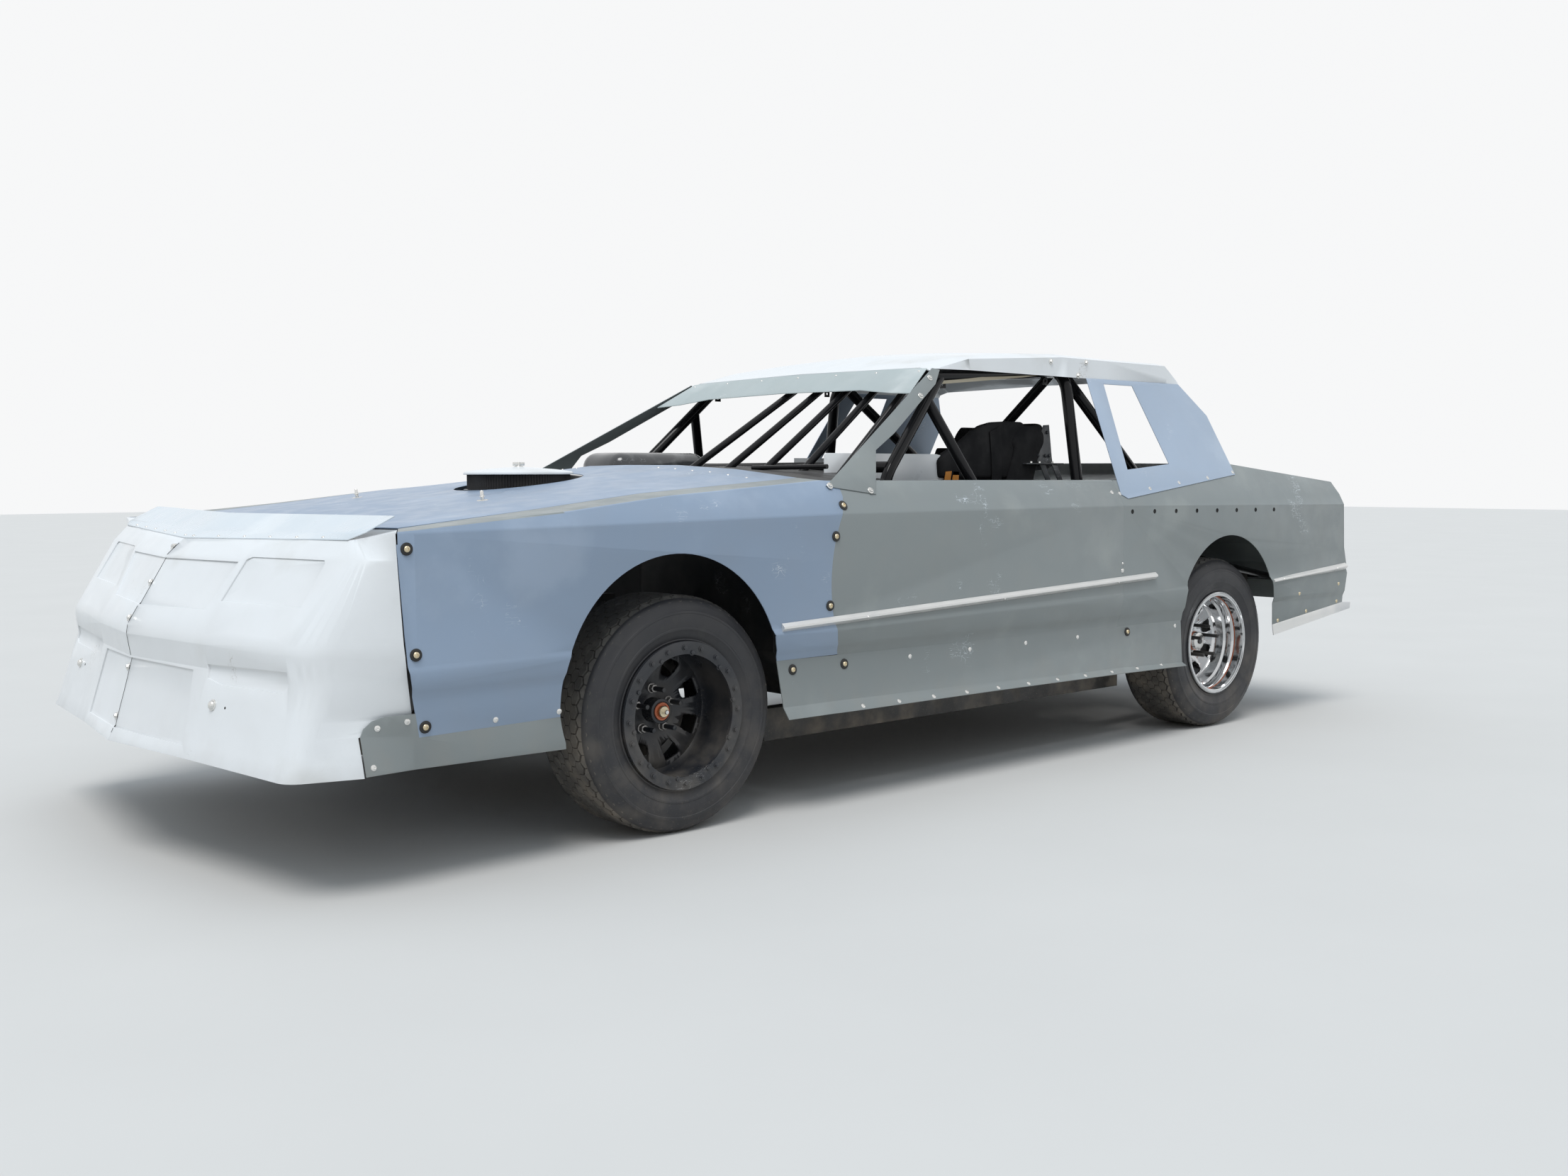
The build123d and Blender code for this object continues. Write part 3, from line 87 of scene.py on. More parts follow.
def moved(x: float, y: float, z: float) -> Matrix:
    """A placement at such a point, without a turn."""
    return Matrix.Translation(place(x, y, z))


def facing(point: Vector, direction: Vector) -> Matrix:
    """A placement at a point whose Z axis points in a direction."""
    return Matrix.Translation(point) @ direction.to_track_quat("Z", "Y").to_matrix().to_4x4()


def in_scene(name: str, data: bpy.types.ID) -> Object:
    """Makes an object of some data and links it to the scene.

    Args:
        name: the object's name.
        data: its mesh, lamp or camera.

    Returns:
        The object.
    """
    made = bpy.data.objects.new(name, data)
    bpy.context.scene.collection.objects.link(made)
    return made


def working_copy(data: bpy.types.Mesh) -> BMesh:
    """A copy of a mesh for the mesh operators."""
    mesh = bmesh.new()
    mesh.from_mesh(data)
    return mesh


@contextmanager
def opened(data: bpy.types.Mesh) -> Iterator[BMesh]:
    """Opens a mesh for the mesh operators and puts the result back.

    Args:
        data: the mesh.

    Yields:
        Its working copy.
    """
    mesh = working_copy(data)
    yield mesh
    mesh.to_mesh(data)
    mesh.free()


def soften(mesh: BMesh, parts: Sequence, width: float, segments: int = 2, affect: str = "EDGES") -> None:
    """Rounds some edges or corners of a mesh by a width in millimetres."""
    if parts and width:
        bmesh.ops.bevel(mesh, geom=parts, offset=width * MM, segments=segments, profile=0.5, affect=affect,
                        clamp_overlap=True, material=-1)


def evaluated(piece: Object) -> bpy.types.Mesh:
    """A new mesh of an object as its modifiers leave it."""
    return bpy.data.meshes.new_from_object(piece.evaluated_get(bpy.context.evaluated_depsgraph_get()))


def cut(mesh: BMesh, point: Vector, direction: Sequence[float]) -> None:
    """Cuts a whole mesh along one plane."""
    bmesh.ops.bisect_plane(mesh, geom=mesh.verts[:] + mesh.edges[:] + mesh.faces[:], dist=MERGE, plane_co=point,
                           plane_no=direction)


def pull(mesh: BMesh, grown: dict, way: Sequence[float]) -> None:
    """Moves what an extrusion has grown by millimetres."""
    verts = [part for part in grown["geom"] if isinstance(part, bmesh.types.BMVert)]
    bmesh.ops.translate(mesh, verts=verts, vec=Vector(way) * MM)


def moved_up(height: float, ahead: float = 0.0) -> Matrix:
    """A shift in millimetres along Z, and along X."""
    return Matrix.Translation(Vector((ahead, 0, height)) * MM)


def placed(mesh: BMesh, matrix: Matrix) -> BMesh:
    """A whole mesh, moved to a placement."""
    bmesh.ops.transform(mesh, matrix=matrix, verts=mesh.verts)
    return mesh


@dataclass(frozen=True)
class Graph:
    """Adds and links the nodes of one shader tree."""

    tree: bpy.types.NodeTree

    def add(self, kind: str, inputs: dict | None = None, **settings) -> bpy.types.Node:
        """Adds one node.

        Args:
            kind: the node's type.
            inputs: what goes into it, as for fill.
            **settings: the node's own properties.

        Returns:
            The new node.
        """
        node = self.tree.nodes.new(kind)
        for name, value in settings.items():
            setattr(node, name, value)
        self.fill(node, inputs or {})
        return node

    def fill(self, node: bpy.types.Node, inputs: dict) -> None:
        """Gives a node's inputs, by name or number, a value or another node's output each.

        Args:
            node: the node.
            inputs: a value or an output socket for each input.
        """
        for key, value in inputs.items():
            if isinstance(value, Socket):
                self.tree.links.new(value, node.inputs[key])
            else:
                node.inputs[key].default_value = value

    def noise(self, vector: Socket, scale: float | Socket, detail: float = 4.0) -> Socket:
        """A cloudy value from 0 to 1."""
        return self.add("ShaderNodeTexNoise", {"Vector": vector, "Scale": scale, "Detail": detail}).outputs["Fac"]

    def math(self, operation: str, first: float | Socket, second: float | Socket = 0.0, hold: bool = True) -> Socket:
        """One sum, held between 0 and 1 unless told otherwise."""
        return self.add("ShaderNodeMath", {0: first, 1: second}, operation=operation, use_clamp=hold).outputs[0]

    def between(self, value: Socket, low: float | Socket, high: float | Socket,
                ends: tuple = (0.0, 1.0)) -> Socket:
        """A smooth step from the first end at low to the second at high."""
        limits = {"Value": value, "From Min": low, "From Max": high, "To Min": ends[0], "To Max": ends[1]}
        return self.add("ShaderNodeMapRange", limits, interpolation_type="SMOOTHSTEP").outputs["Result"]

    def mix(self, share: float | Socket, under: Color | Socket, over: Color | Socket) -> Socket:
        """One colour laid over another."""
        return self.add("ShaderNodeMix", {0: share, 6: under, 7: over}, data_type="RGBA").outputs[2]


def new_material(name: str) -> tuple[bpy.types.Material, Graph, bpy.types.Node]:
    """A new material with its graph and surface."""
    material = bpy.data.materials.new(name)
    material.use_nodes = True
    return material, Graph(material.node_tree), material.node_tree.nodes["Principled BSDF"]


class Effects:
    """Node groups for wear, built once and shared by every material."""

    NUMBERS = {
        "patches": ("Scale", "Cover"),
        "scratches": ("Cover",),
        "dust": ("Height", "Cover"),
        "dents": ("Depth", "Grain", "Fine"),
    }
    COVER_SHARE = 0.4
    SCRATCH_WAYS = (((6.0, 30.0, 110.0), (0.0, 24.0, 6.0)), ((26.0, 34.0, 30.0), (10.0, -48.0, 0.0)))
    SCRATCH_WIDTH = (0.002, 0.007)
    WAVE_SCALE = 4.0
    GRAIN_DEPTH = 0.0002
    _built: dict[str, bpy.types.NodeTree] = {}

    @classmethod
    def use(cls, graph: Graph, name: str, vector: Socket, *numbers: float) -> Socket:
        """Puts a shared group in a material.

        Args:
            graph: the material's tree.
            name: the group's name, which is also the method that draws it.
            vector: the coordinates it is drawn in.
            *numbers: its numbers in their order.

        Returns:
            The group's only output.
        """
        if name not in cls._built:
            cls._built[name] = cls._group(name)
        inputs = dict(enumerate((vector, *numbers)))
        return graph.add("ShaderNodeGroup", inputs, node_tree=cls._built[name]).outputs[0]

    @classmethod
    def _group(cls, name: str) -> bpy.types.NodeTree:
        """Builds one group: a vector and numbers in, one mask or normal out.

        Args:
            name: its name.

        Returns:
            The group's tree.
        """
        tree = bpy.data.node_groups.new(name, "ShaderNodeTree")
        tree.interface.new_socket("Vector", in_out="INPUT", socket_type="NodeSocketVector")
        for label in cls.NUMBERS[name]:
            tree.interface.new_socket(label, in_out="INPUT", socket_type="NodeSocketFloat")
        label, kind = ("Normal", "NodeSocketVector") if name == "dents" else ("Mask", "NodeSocketFloat")
        tree.interface.new_socket(label, in_out="OUTPUT", socket_type=kind)
        graph = Graph(tree)
        sources = graph.add("NodeGroupInput").outputs[:len(cls.NUMBERS[name]) + 1]
        graph.add("NodeGroupOutput", {0: getattr(cls, f"_{name}")(graph, *sources)})
        return tree

    @classmethod
    def _shown(cls, graph: Graph, value: Socket, cover: Socket, start: float, edge: float) -> Socket:
        """What a cover lets through of a cloudy value, from its start over a soft edge."""
        low = graph.math("SUBTRACT", start, graph.math("MULTIPLY", cover, cls.COVER_SHARE))
        return graph.between(value, low, graph.math("ADD", low, edge))

    @classmethod
    def _patches(cls, graph: Graph, vector: Socket, scale: Socket, cover: Socket) -> Socket:
        """Soft stains with a ragged edge."""
        return cls._shown(graph, graph.noise(vector, scale, 6.0), cover, start=0.72, edge=0.16)

    @classmethod
    def _scratches(cls, graph: Graph, vector: Socket, cover: Socket) -> Socket:
        """Fine lines in two directions, broken up so that they come in places.

        Args:
            graph: the group's tree.
            vector: the coordinates.
            cover: how much they cover.

        Returns:
            Their mask.
        """
        lines = []
        for stretch, turn_deg in cls.SCRATCH_WAYS:
            inputs = {"Vector": vector, "Scale": stretch, "Rotation": [math.radians(angle) for angle in turn_deg]}
            value = graph.noise(graph.add("ShaderNodeMapping", inputs).outputs[0], 1.0, 2.0)
            away = graph.math("ABSOLUTE", graph.math("SUBTRACT", value, 0.5, False), 0.0, False)
            lines.append(graph.between(away, *cls.SCRATCH_WIDTH, (1.0, 0.0)))
        broken = cls._shown(graph, graph.noise(vector, 5.0, 5.0), cover, start=0.78, edge=0.06)
        return graph.math("MULTIPLY", graph.math("MAXIMUM", *lines), broken)

    @staticmethod
    def _dust(graph: Graph, vector: Socket, height: Socket, cover: Socket) -> Socket:
        """Dirt thrown up from the ground, thinning out with height, and specks higher up.

        Args:
            graph: the group's tree.
            vector: the coordinates.
            height: where it has thinned out.
            cover: how much it covers.

        Returns:
            Its mask.
        """
        up = graph.add("ShaderNodeSeparateXYZ", {0: vector}).outputs["Z"]
        low = graph.between(up, 0.05, height, (1.0, 0.12))
        cloud = graph.between(graph.noise(vector, 9.0, 8.0), 0.38, 0.72)
        speck = graph.between(graph.noise(vector, 160.0, 2.0), 0.62, 0.7)
        dirt = graph.math("MAXIMUM", cloud, graph.math("MULTIPLY", speck, 0.6))
        return graph.math("MULTIPLY", graph.math("MULTIPLY", low, dirt), cover)

    @classmethod
    def _dents(cls, graph: Graph, vector: Socket, depth: Socket, grain: Socket, strength: Socket) -> Socket:
        """Sheet metal's slight waves with a fine grain over them."""
        wave = graph.add("ShaderNodeBump", {"Height": graph.noise(vector, cls.WAVE_SCALE, 1.0), "Distance": depth})
        return graph.add("ShaderNodeBump", {"Height": graph.noise(vector, grain, 2.0), "Distance": cls.GRAIN_DEPTH,
                                            "Strength": strength, "Normal": wave.outputs[0]}).outputs[0]


@dataclass(frozen=True)
class Finish:
    """One surface: colour, roughness and the colour of its stains, then its gloss and wear."""

    color: Color
    roughness: float
    stain: Color
    metallic: float = 0.0
    coat: float = 0.0
    stains: float = 0.3
    stain_scale: float = 3.0
    scratch: Color = (0.62, 0.66, 0.70)
    scratches: float = 0.0
    dust: float = 0.4
    dust_height: float = 0.45
    dents: float = 0.0
    grain: float = 400.0
    fine: float = 0.35
    shine: float = 0.5

    DUST_COLOR = (0.34, 0.29, 0.23)
    COAT_ROUGHNESS = 0.12

    def material(self, name: str) -> bpy.types.Material:
        """The finish as a Blender material, made once.

        Args:
            name: the material's name.

        Returns:
            The material.
        """
        if name in bpy.data.materials:
            return bpy.data.materials[name]
        material, graph, surface = new_material(name)
        vector = graph.add("ShaderNodeTexCoord").outputs["Object"]
        patches = Effects.use(graph, "patches", vector, self.stain_scale, self.stains)
        tone = graph.mix(patches, (*self.color, 1.0), (*self.stain, 1.0))
        if self.scratches:
            lines = Effects.use(graph, "scratches", vector, self.scratches)
            tone = graph.mix(lines, tone, (*self.scratch, 1.0))
        dust = Effects.use(graph, "dust", vector, self.dust_height, self.dust)
        gloss = graph.between(graph.noise(vector, 14.0, 6.0), 0.3, 0.7, (self.roughness * 0.82, self.roughness * 1.2))
        graph.fill(surface, {
            "Base Color": graph.mix(dust, tone, (*self.DUST_COLOR, 1.0)),
            "Roughness": graph.math("ADD", gloss, graph.math("MULTIPLY", dust, 0.6)),
            "Normal": Effects.use(graph, "dents", vector, self.dents, self.grain, self.fine),
            "Metallic": graph.math("SUBTRACT", self.metallic, dust) if self.metallic else 0.0,
            "Specular IOR Level": self.shine,
            "Coat Weight": self.coat,
            "Coat Roughness": self.COAT_ROUGHNESS,
        })
        return material


def grey(level: float) -> Color:
    """An even grey."""
    return (level, level, level)


class Paint(Enum):
    """Every finish on the car. The first ones carry the names of the record's material slots."""

    white_body = Finish((0.735, 0.75, 0.755), 0.34, (0.64, 0.645, 0.63), coat=0.25, stains=0.35,
                        scratch=(0.42, 0.40, 0.37), scratches=0.28, dust=0.3, dents=0.006)
    blue_grey_paint = Finish((0.250, 0.320, 0.420), 0.36, (0.30, 0.37, 0.47), stains=0.45, scratches=0.38, dust=0.35,
                             dents=0.006)
    green_grey_paint = Finish((0.225, 0.247, 0.245), 0.40, (0.265, 0.287, 0.28), stains=0.45, scratches=0.34,
                              dents=0.006)
    bare_sheet = Finish((0.78, 0.77, 0.75), 0.36, (0.62, 0.63, 0.64), metallic=0.7, stains=0.4,
                        scratch=(0.85, 0.86, 0.88), scratches=0.35, dust=0.35)
    # A copy of the blue-grey paint made about a third lighter; on the C plates it raises their brightness.
    pale_blue_paint = Finish((0.345, 0.415, 0.51), 0.34, (0.40, 0.47, 0.56), stains=0.45, scratches=0.38, dust=0.3,
                             dents=0.005)
    pale_grey_paint = Finish((0.40, 0.45, 0.445), 0.38, (0.52, 0.56, 0.55), stains=0.5, scratch=(0.75, 0.76, 0.75),
                             scratches=0.38, dust=0.35, dents=0.005)
    black_tube = Finish((0.009, 0.009, 0.010), 0.14, grey(0.012), coat=0.1, dust=0.04, shine=0.16)
    black_chassis = Finish((0.022, 0.021, 0.02), 0.42, (0.05, 0.042, 0.034), scratch=(0.16, 0.12, 0.09),
                           scratches=0.3, dust=0.7)
    inner_sheet = Finish((0.026, 0.027, 0.028), 0.45, (0.05, 0.05, 0.048), scratch=grey(0.2), scratches=0.3,
                         dust=0.6, dents=0.005)
    cast_block = Finish((0.07, 0.07, 0.072), 0.55, (0.03, 0.026, 0.022), metallic=0.3, dust=0.5)
    steel = Finish((0.36, 0.35, 0.34), 0.42, (0.17, 0.08, 0.045), metallic=0.9, stains=0.35, stain_scale=9.0,
                   dust=0.5)
    black_rim = Finish((0.020, 0.022, 0.027), 0.3, grey(0.034), stain_scale=12.0, scratch=grey(0.2), scratches=0.35,
                       dust=0.3, dust_height=0.6)
    chrome_rim = Finish((0.60, 0.61, 0.62), 0.07, grey(0.52), metallic=1.0, stains=0.2, stain_scale=5.0, dust=0.12,
                        dust_height=0.5, fine=0.03)
    tyre = Finish((0.030, 0.030, 0.033), 0.5, (0.040, 0.040, 0.041), stains=0.4, stain_scale=14.0,
                  scratch=grey(0.07), scratches=0.35, dust=0.22, dust_height=0.55, grain=900.0, shine=0.4)
    # The tread blocks are a lighter copy of the tyre's rubber: partly real dust and scuffing, partly painted light,
    # raised because the blocks sit in the arch's shadow.
    tread = Finish((0.084, 0.079, 0.072), 0.74, (0.125, 0.117, 0.105), stains=0.5, stain_scale=24.0, dust=0.5,
                   dust_height=0.7, grain=700.0, shine=0.35)
    seat_cover = Finish((0.010, 0.010, 0.011), 0.85, (0.017, 0.017, 0.018), stain_scale=8.0, dust=0.05,
                        grain=1400.0, shine=0.25)
    filter = Finish((0.02, 0.02, 0.022), 0.7, (0.035, 0.034, 0.033), dust=0.5)
    lip_plastic = Finish((0.60, 0.655, 0.69), 0.3, (0.68, 0.72, 0.74), coat=0.3, stains=0.4,
                         scratch=(0.82, 0.84, 0.85), scratches=0.2, dust=0.3)
    # A whiter copy of the white body paint for the driver's side sheet, which sits in shade in the cabin: sunlight is
    # painted into its colour.
    white_sheet = Finish((0.88, 0.88, 0.87), 0.32, (0.82, 0.82, 0.80), coat=0.2, scratch=(0.6, 0.6, 0.58),
                         scratches=0.3, dust=0.2)
    gold = Finish((0.66, 0.57, 0.40), 0.3, (0.5, 0.44, 0.32), metallic=1.0, stain_scale=60.0, dust=0.2)
    bright = Finish((0.72, 0.72, 0.70), 0.24, (0.5, 0.49, 0.47), metallic=1.0, stain_scale=60.0, dust=0.2)
    rubber = Finish(grey(0.012), 0.55, grey(0.03), dust=0.2)
    # Near-black: on the hole fasteners it is painted shade, standing in for the dark inside of an opening; on the
    # nose seam it is the joint's dark line.
    hole = Finish(grey(0.004), 0.9, grey(0.006), dust=0.1)
    grey_plate = Finish((0.10, 0.105, 0.11), 0.42, grey(0.15), metallic=0.5, scratch=grey(0.4), scratches=0.4)
    black_wrap = Finish((0.035, 0.037, 0.04), 0.12, grey(0.10), coat=0.5, stains=0.5, stain_scale=11.0,
                        scratch=grey(0.5), scratches=0.5, dust=0.3, dents=0.03)
    copper = Finish((0.42, 0.13, 0.07), 0.35, (0.25, 0.07, 0.04), metallic=0.8, stain_scale=30.0, dust=0.3)
    beige = Finish((0.50, 0.44, 0.33), 0.6, (0.42, 0.36, 0.27), dust=0.2)
    webbing = Finish((0.52, 0.20, 0.03), 0.8, (0.40, 0.15, 0.03), dust=0.2, grain=1500.0)

    def put_on(self, piece: Object) -> None:
        """Gives the piece one more material slot, with this finish."""
        piece.data.materials.append(self.value.material(f"{self.name}_finish"))


@dataclass
class Piece:
    """A mesh under construction, with the record's slot and the body that it rides on."""

    name: str
    slot: str
    body: str = "chassis"
    mesh: BMesh = field(default_factory=bmesh.new)
    paints: list[Paint] = field(default_factory=list)

    def add(self, other: BMesh, paint: Paint, matrix: Matrix | None = None) -> Piece:
        """Joins a small mesh to the piece and frees it.

        Args:
            other: the mesh to join.
            paint: its finish.
            matrix: where it goes.

        Returns:
            The piece itself.
        """
        if paint not in self.paints:
            self.paints.append(paint)
        for face in other.faces:
            face.material_index = self.paints.index(paint)
            face.smooth = True
        if matrix:
            placed(other, matrix)
        holder = bpy.data.meshes.new("holder")
        other.to_mesh(holder)
        other.free()
        self.mesh.from_mesh(holder)
        bpy.data.meshes.remove(holder)
        return self

    def finish(self, smooth_deg: float = 35.0) -> Object:
        """Makes the object, gives it its finishes and lets it ride on its body.

        Args:
            smooth_deg: edges sharper than this stay sharp.

        Returns:
            The finished object.
        """
        bmesh.ops.recalc_face_normals(self.mesh, faces=self.mesh.faces)
        data = bpy.data.meshes.new(self.name)
        self.mesh.to_mesh(data)
        self.mesh.free()
        data.set_sharp_from_angle(angle=math.radians(smooth_deg))
        piece = in_scene(self.name, data)
        for paint in self.paints:
            paint.put_on(piece)
        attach(piece, self.body)
        LOG.info("%s: %d faces on %s", self.name, len(data.polygons), self.body)
        return piece


class Form:
    """Small meshes made by operators, to be joined to a piece."""

    @staticmethod
    def lathe(line: Sequence[tuple[float, float]], steps: int) -> BMesh:
        """Turns a line of (radius, height) about the Z axis.

        Args:
            line: the section from one end to the other.
            steps: how many sides the turn has.

        Returns:
            The turned mesh.
        """
        mesh = bmesh.new()
        verts = [mesh.verts.new(Vector((radius, 0.0, height)) * MM) for radius, height in line]
        edges = [mesh.edges.new(pair) for pair in zip(verts, verts[1:])]
        bmesh.ops.spin(mesh, geom=verts + edges, cent=CENTRE, axis=UP, dvec=CENTRE, angle=math.tau, steps=steps,
                       use_merge=True, use_duplicate=False)
        bmesh.ops.remove_doubles(mesh, verts=mesh.verts, dist=MERGE)
        return mesh

    @staticmethod
    def prism(radius: float, height: float, sides: int, softness: float = 0.0) -> BMesh:
        """A regular prism that stands on the origin, with softened top edges.

        Args:
            radius: out to its corners.
            height: along Z.
            sides: how many.
            softness: width of the bevel round the top.

        Returns:
            The mesh.
        """
        mesh = bmesh.new()
        bmesh.ops.create_cone(mesh, cap_ends=True, segments=sides, radius1=radius * MM, radius2=radius * MM,
                              depth=height * MM)
        placed(mesh, moved_up(height / 2))
        soften(mesh, Form.top_edges(mesh, height * 0.99), softness)
        return mesh

    @staticmethod
    def top_edges(mesh: BMesh, height: float) -> list[bmesh.types.BMEdge]:
        """The edges that lie over a height."""
        return [edge for edge in mesh.edges if min(vert.co.z for vert in edge.verts) > height * MM]

    @classmethod
    def tube(cls, start: Vector, end: Vector, radius: float, sides: int = 20) -> BMesh:
        """A round bar between two places in the car, which are in metres."""
        return placed(cls.prism(radius, (end - start).length / MM, sides), facing(start, end - start))

    @staticmethod
    def block(size: Sequence[float], softness: float, steps: int = 2) -> BMesh:
        """A box about the origin with all its edges softened.

        Args:
            size: along X, Y and Z.
            softness: width of the bevel.
            steps: how many faces the bevel has.

        Returns:
            The mesh.
        """
        mesh = bmesh.new()
        bmesh.ops.create_cube(mesh, size=1.0)
        bmesh.ops.scale(mesh, vec=Vector(size) * MM, verts=mesh.verts)
        soften(mesh, mesh.edges[:], softness, steps)
        return mesh

    @staticmethod
    def turned_round(mesh: BMesh, count: int, start_deg: float = 0.0) -> BMesh:
        """Repeats a mesh evenly about the Z axis.

        Args:
            mesh: the first one, in place.
            count: how many in all.
            start_deg: how far the first is turned.

        Returns:
            The same mesh with all its repeats.
        """
        placed(mesh, Matrix.Rotation(math.radians(start_deg), 4, "Z"))
        bmesh.ops.spin(mesh, geom=mesh.verts[:] + mesh.edges[:] + mesh.faces[:], cent=CENTRE, axis=UP, dvec=CENTRE,
                       angle=math.tau * (count - 1) / count, steps=count - 1, use_merge=False, use_duplicate=True)
        return mesh


@dataclass(frozen=True)
class SoftPanel:
    """A copy of a CAD node with its folds and borders softened, which stands in for the node."""

    node: Object
    crease: float = 4.0
    rim: float = 0.6
    fold_deg: float = 9.0
    border_deg: float = 50.0
    least_length: float = 6.0
    least_width: float = 4.0
    flat_deg: float = 0.4
    smooth_deg: float = 28.0

    def build(self, slot: str, body: str, paint: Paint) -> Object:
        """Makes the soft copy.

        Args:
            slot: the node's material slot.
            body: the node's body.
            paint: its finish.

        Returns:
            The finished object.
        """
        mesh = working_copy(self.node.data)
        bmesh.ops.remove_doubles(mesh, verts=mesh.verts, dist=MERGE)
        bmesh.ops.dissolve_limit(mesh, angle_limit=math.radians(self.flat_deg), verts=mesh.verts[:],
                                 edges=mesh.edges[:])
        soften(mesh, [edge for edge in mesh.edges if self._is_crease(edge)], self.crease, 3)
        soften(mesh, [edge for edge in mesh.edges if self._folds(edge, self.border_deg)], self.rim)
        soft = Piece(f"{self.node.name}_soft", slot, body).add(mesh, paint).finish(self.smooth_deg)
        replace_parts(soft, self.node.name)
        return soft

    @staticmethod
    def _folds(edge: bmesh.types.BMEdge, least_deg: float) -> bool:
        """Whether two faces meet at an edge by more than an angle."""
        return len(edge.link_faces) == 2 and edge.calc_face_angle(0.0) >= math.radians(least_deg)

    def _is_crease(self, edge: bmesh.types.BMEdge) -> bool:
        """Whether an edge is a long fold between two broad faces.

        Args:
            edge: the edge.

        Returns:
            True for such a fold.
        """
        if not self._folds(edge, self.fold_deg) or edge.calc_length() < self.least_length * self.crease * MM:
            return False
        widths = [face.calc_area() / max(side.calc_length() for side in face.edges) for face in edge.link_faces]
        return min(widths) > self.least_width * self.crease * MM


@dataclass(frozen=True)
class Tread:
    """The siped tread: rows of six-sided blocks between zigzag grooves."""

    blocks_round: int = 54
    rows: int = 6
    row_pitch: float = 27.0
    groove: float = 2.4
    floor_r: float = 335.0
    top_r: float = 342.0
    shoulder_tilt_deg: float = 30.0
    shoulder_drop: float = 7.2
    softness: float = 0.5

    def block(self, row: float, late: float) -> BMesh:
        """One row of blocks round the wheel.

        Args:
            row: how many rows off the middle.
            late: how far round the first block is, in blocks.

        Returns:
            The whole row.
        """
        pitch = math.tau * self.top_r / self.blocks_round
        half_length = (pitch - self.groove) / math.sqrt(3)
        half_width = self.row_pitch * 2 / 3 - self.groove / 2
        mesh = Form.prism(1 / MM, self.top_r - self.floor_r, 6)
        bmesh.ops.scale(mesh, vec=(half_length * MM, half_width * MM, 1.0), verts=mesh.verts)
        soften(mesh, Form.top_edges(mesh, (self.top_r - self.floor_r) / 2), self.softness, 1)
        drop = 0.0
        if abs(row) > self.rows / 2:
            drop = self.shoulder_drop
            placed(mesh, Matrix.Rotation(math.radians(-math.copysign(self.shoulder_tilt_deg, row)), 4, "X"))
        upright = Matrix(((0, 0, 1, (self.floor_r - drop) * MM), (1, 0, 0, 0), (0, 1, 0, row * self.row_pitch * MM),
                          (0, 0, 0, 1)))
        return Form.turned_round(placed(mesh, upright), self.blocks_round, late * 360 / self.blocks_round)


@dataclass(frozen=True)
class WheelLook:
    """What tells the front wheels from the rear ones. Heights count outward from the middle."""

    end: str
    barrel: Paint
    ring_bolts: int
    liner: tuple
    hub: tuple
    nut: Paint
    stud: Paint
    stud_rise: float


WHEEL_LOOKS = (
    WheelLook(
        "front", Paint.black_rim, 20,
        ((205, 117), (196, 116), (190.2, 110), (189.6, 60), (186, 52), (185, 8), (180, -6), (174, -14)),
        ((((36.6, -8), (36.8, 17.5), (34, 19), (30, 19), (29, 17.0), (0, 17)), Paint.black_rim),
         (((27, 16), (27, 20.5), (25.5, 22), (21, 22), (20, 20), (0, 20)), Paint.copper),
         (((17.5, 20), (17.5, 29), (15.5, 31.5), (9, 31.5), (0, 31.5)), Paint.gold),
         (((7, 31), (7, 44), (5.5, 46), (0, 46)), Paint.bright)),
        Paint.steel, Paint.black_rim, 62.0,
    ),
    WheelLook(
        "rear", Paint.chrome_rim, 0,
        ((205, 117), (199, 115.5), (190.2, 108), (189.4, 78), (183, 70), (181, 44), (174, 36), (172, 6), (166, -8),
         (160, -12)),
        ((((36.6, -8), (36.8, 30), (34.5, 34), (26, 36), (0, 37)), Paint.bright),
         (((37.0, 6), (38.6, 8), (38.6, 18), (37.0, 20)), Paint.copper),
         (((12, 36), (12, 40), (10, 42), (0, 42)), Paint.black_rim),
         (((189.2, 78), (187.6, 79), (187.6, 82), (189.4, 83)), Paint.copper)),
        Paint.bright, Paint.rubber, 112.0,
    ),
)


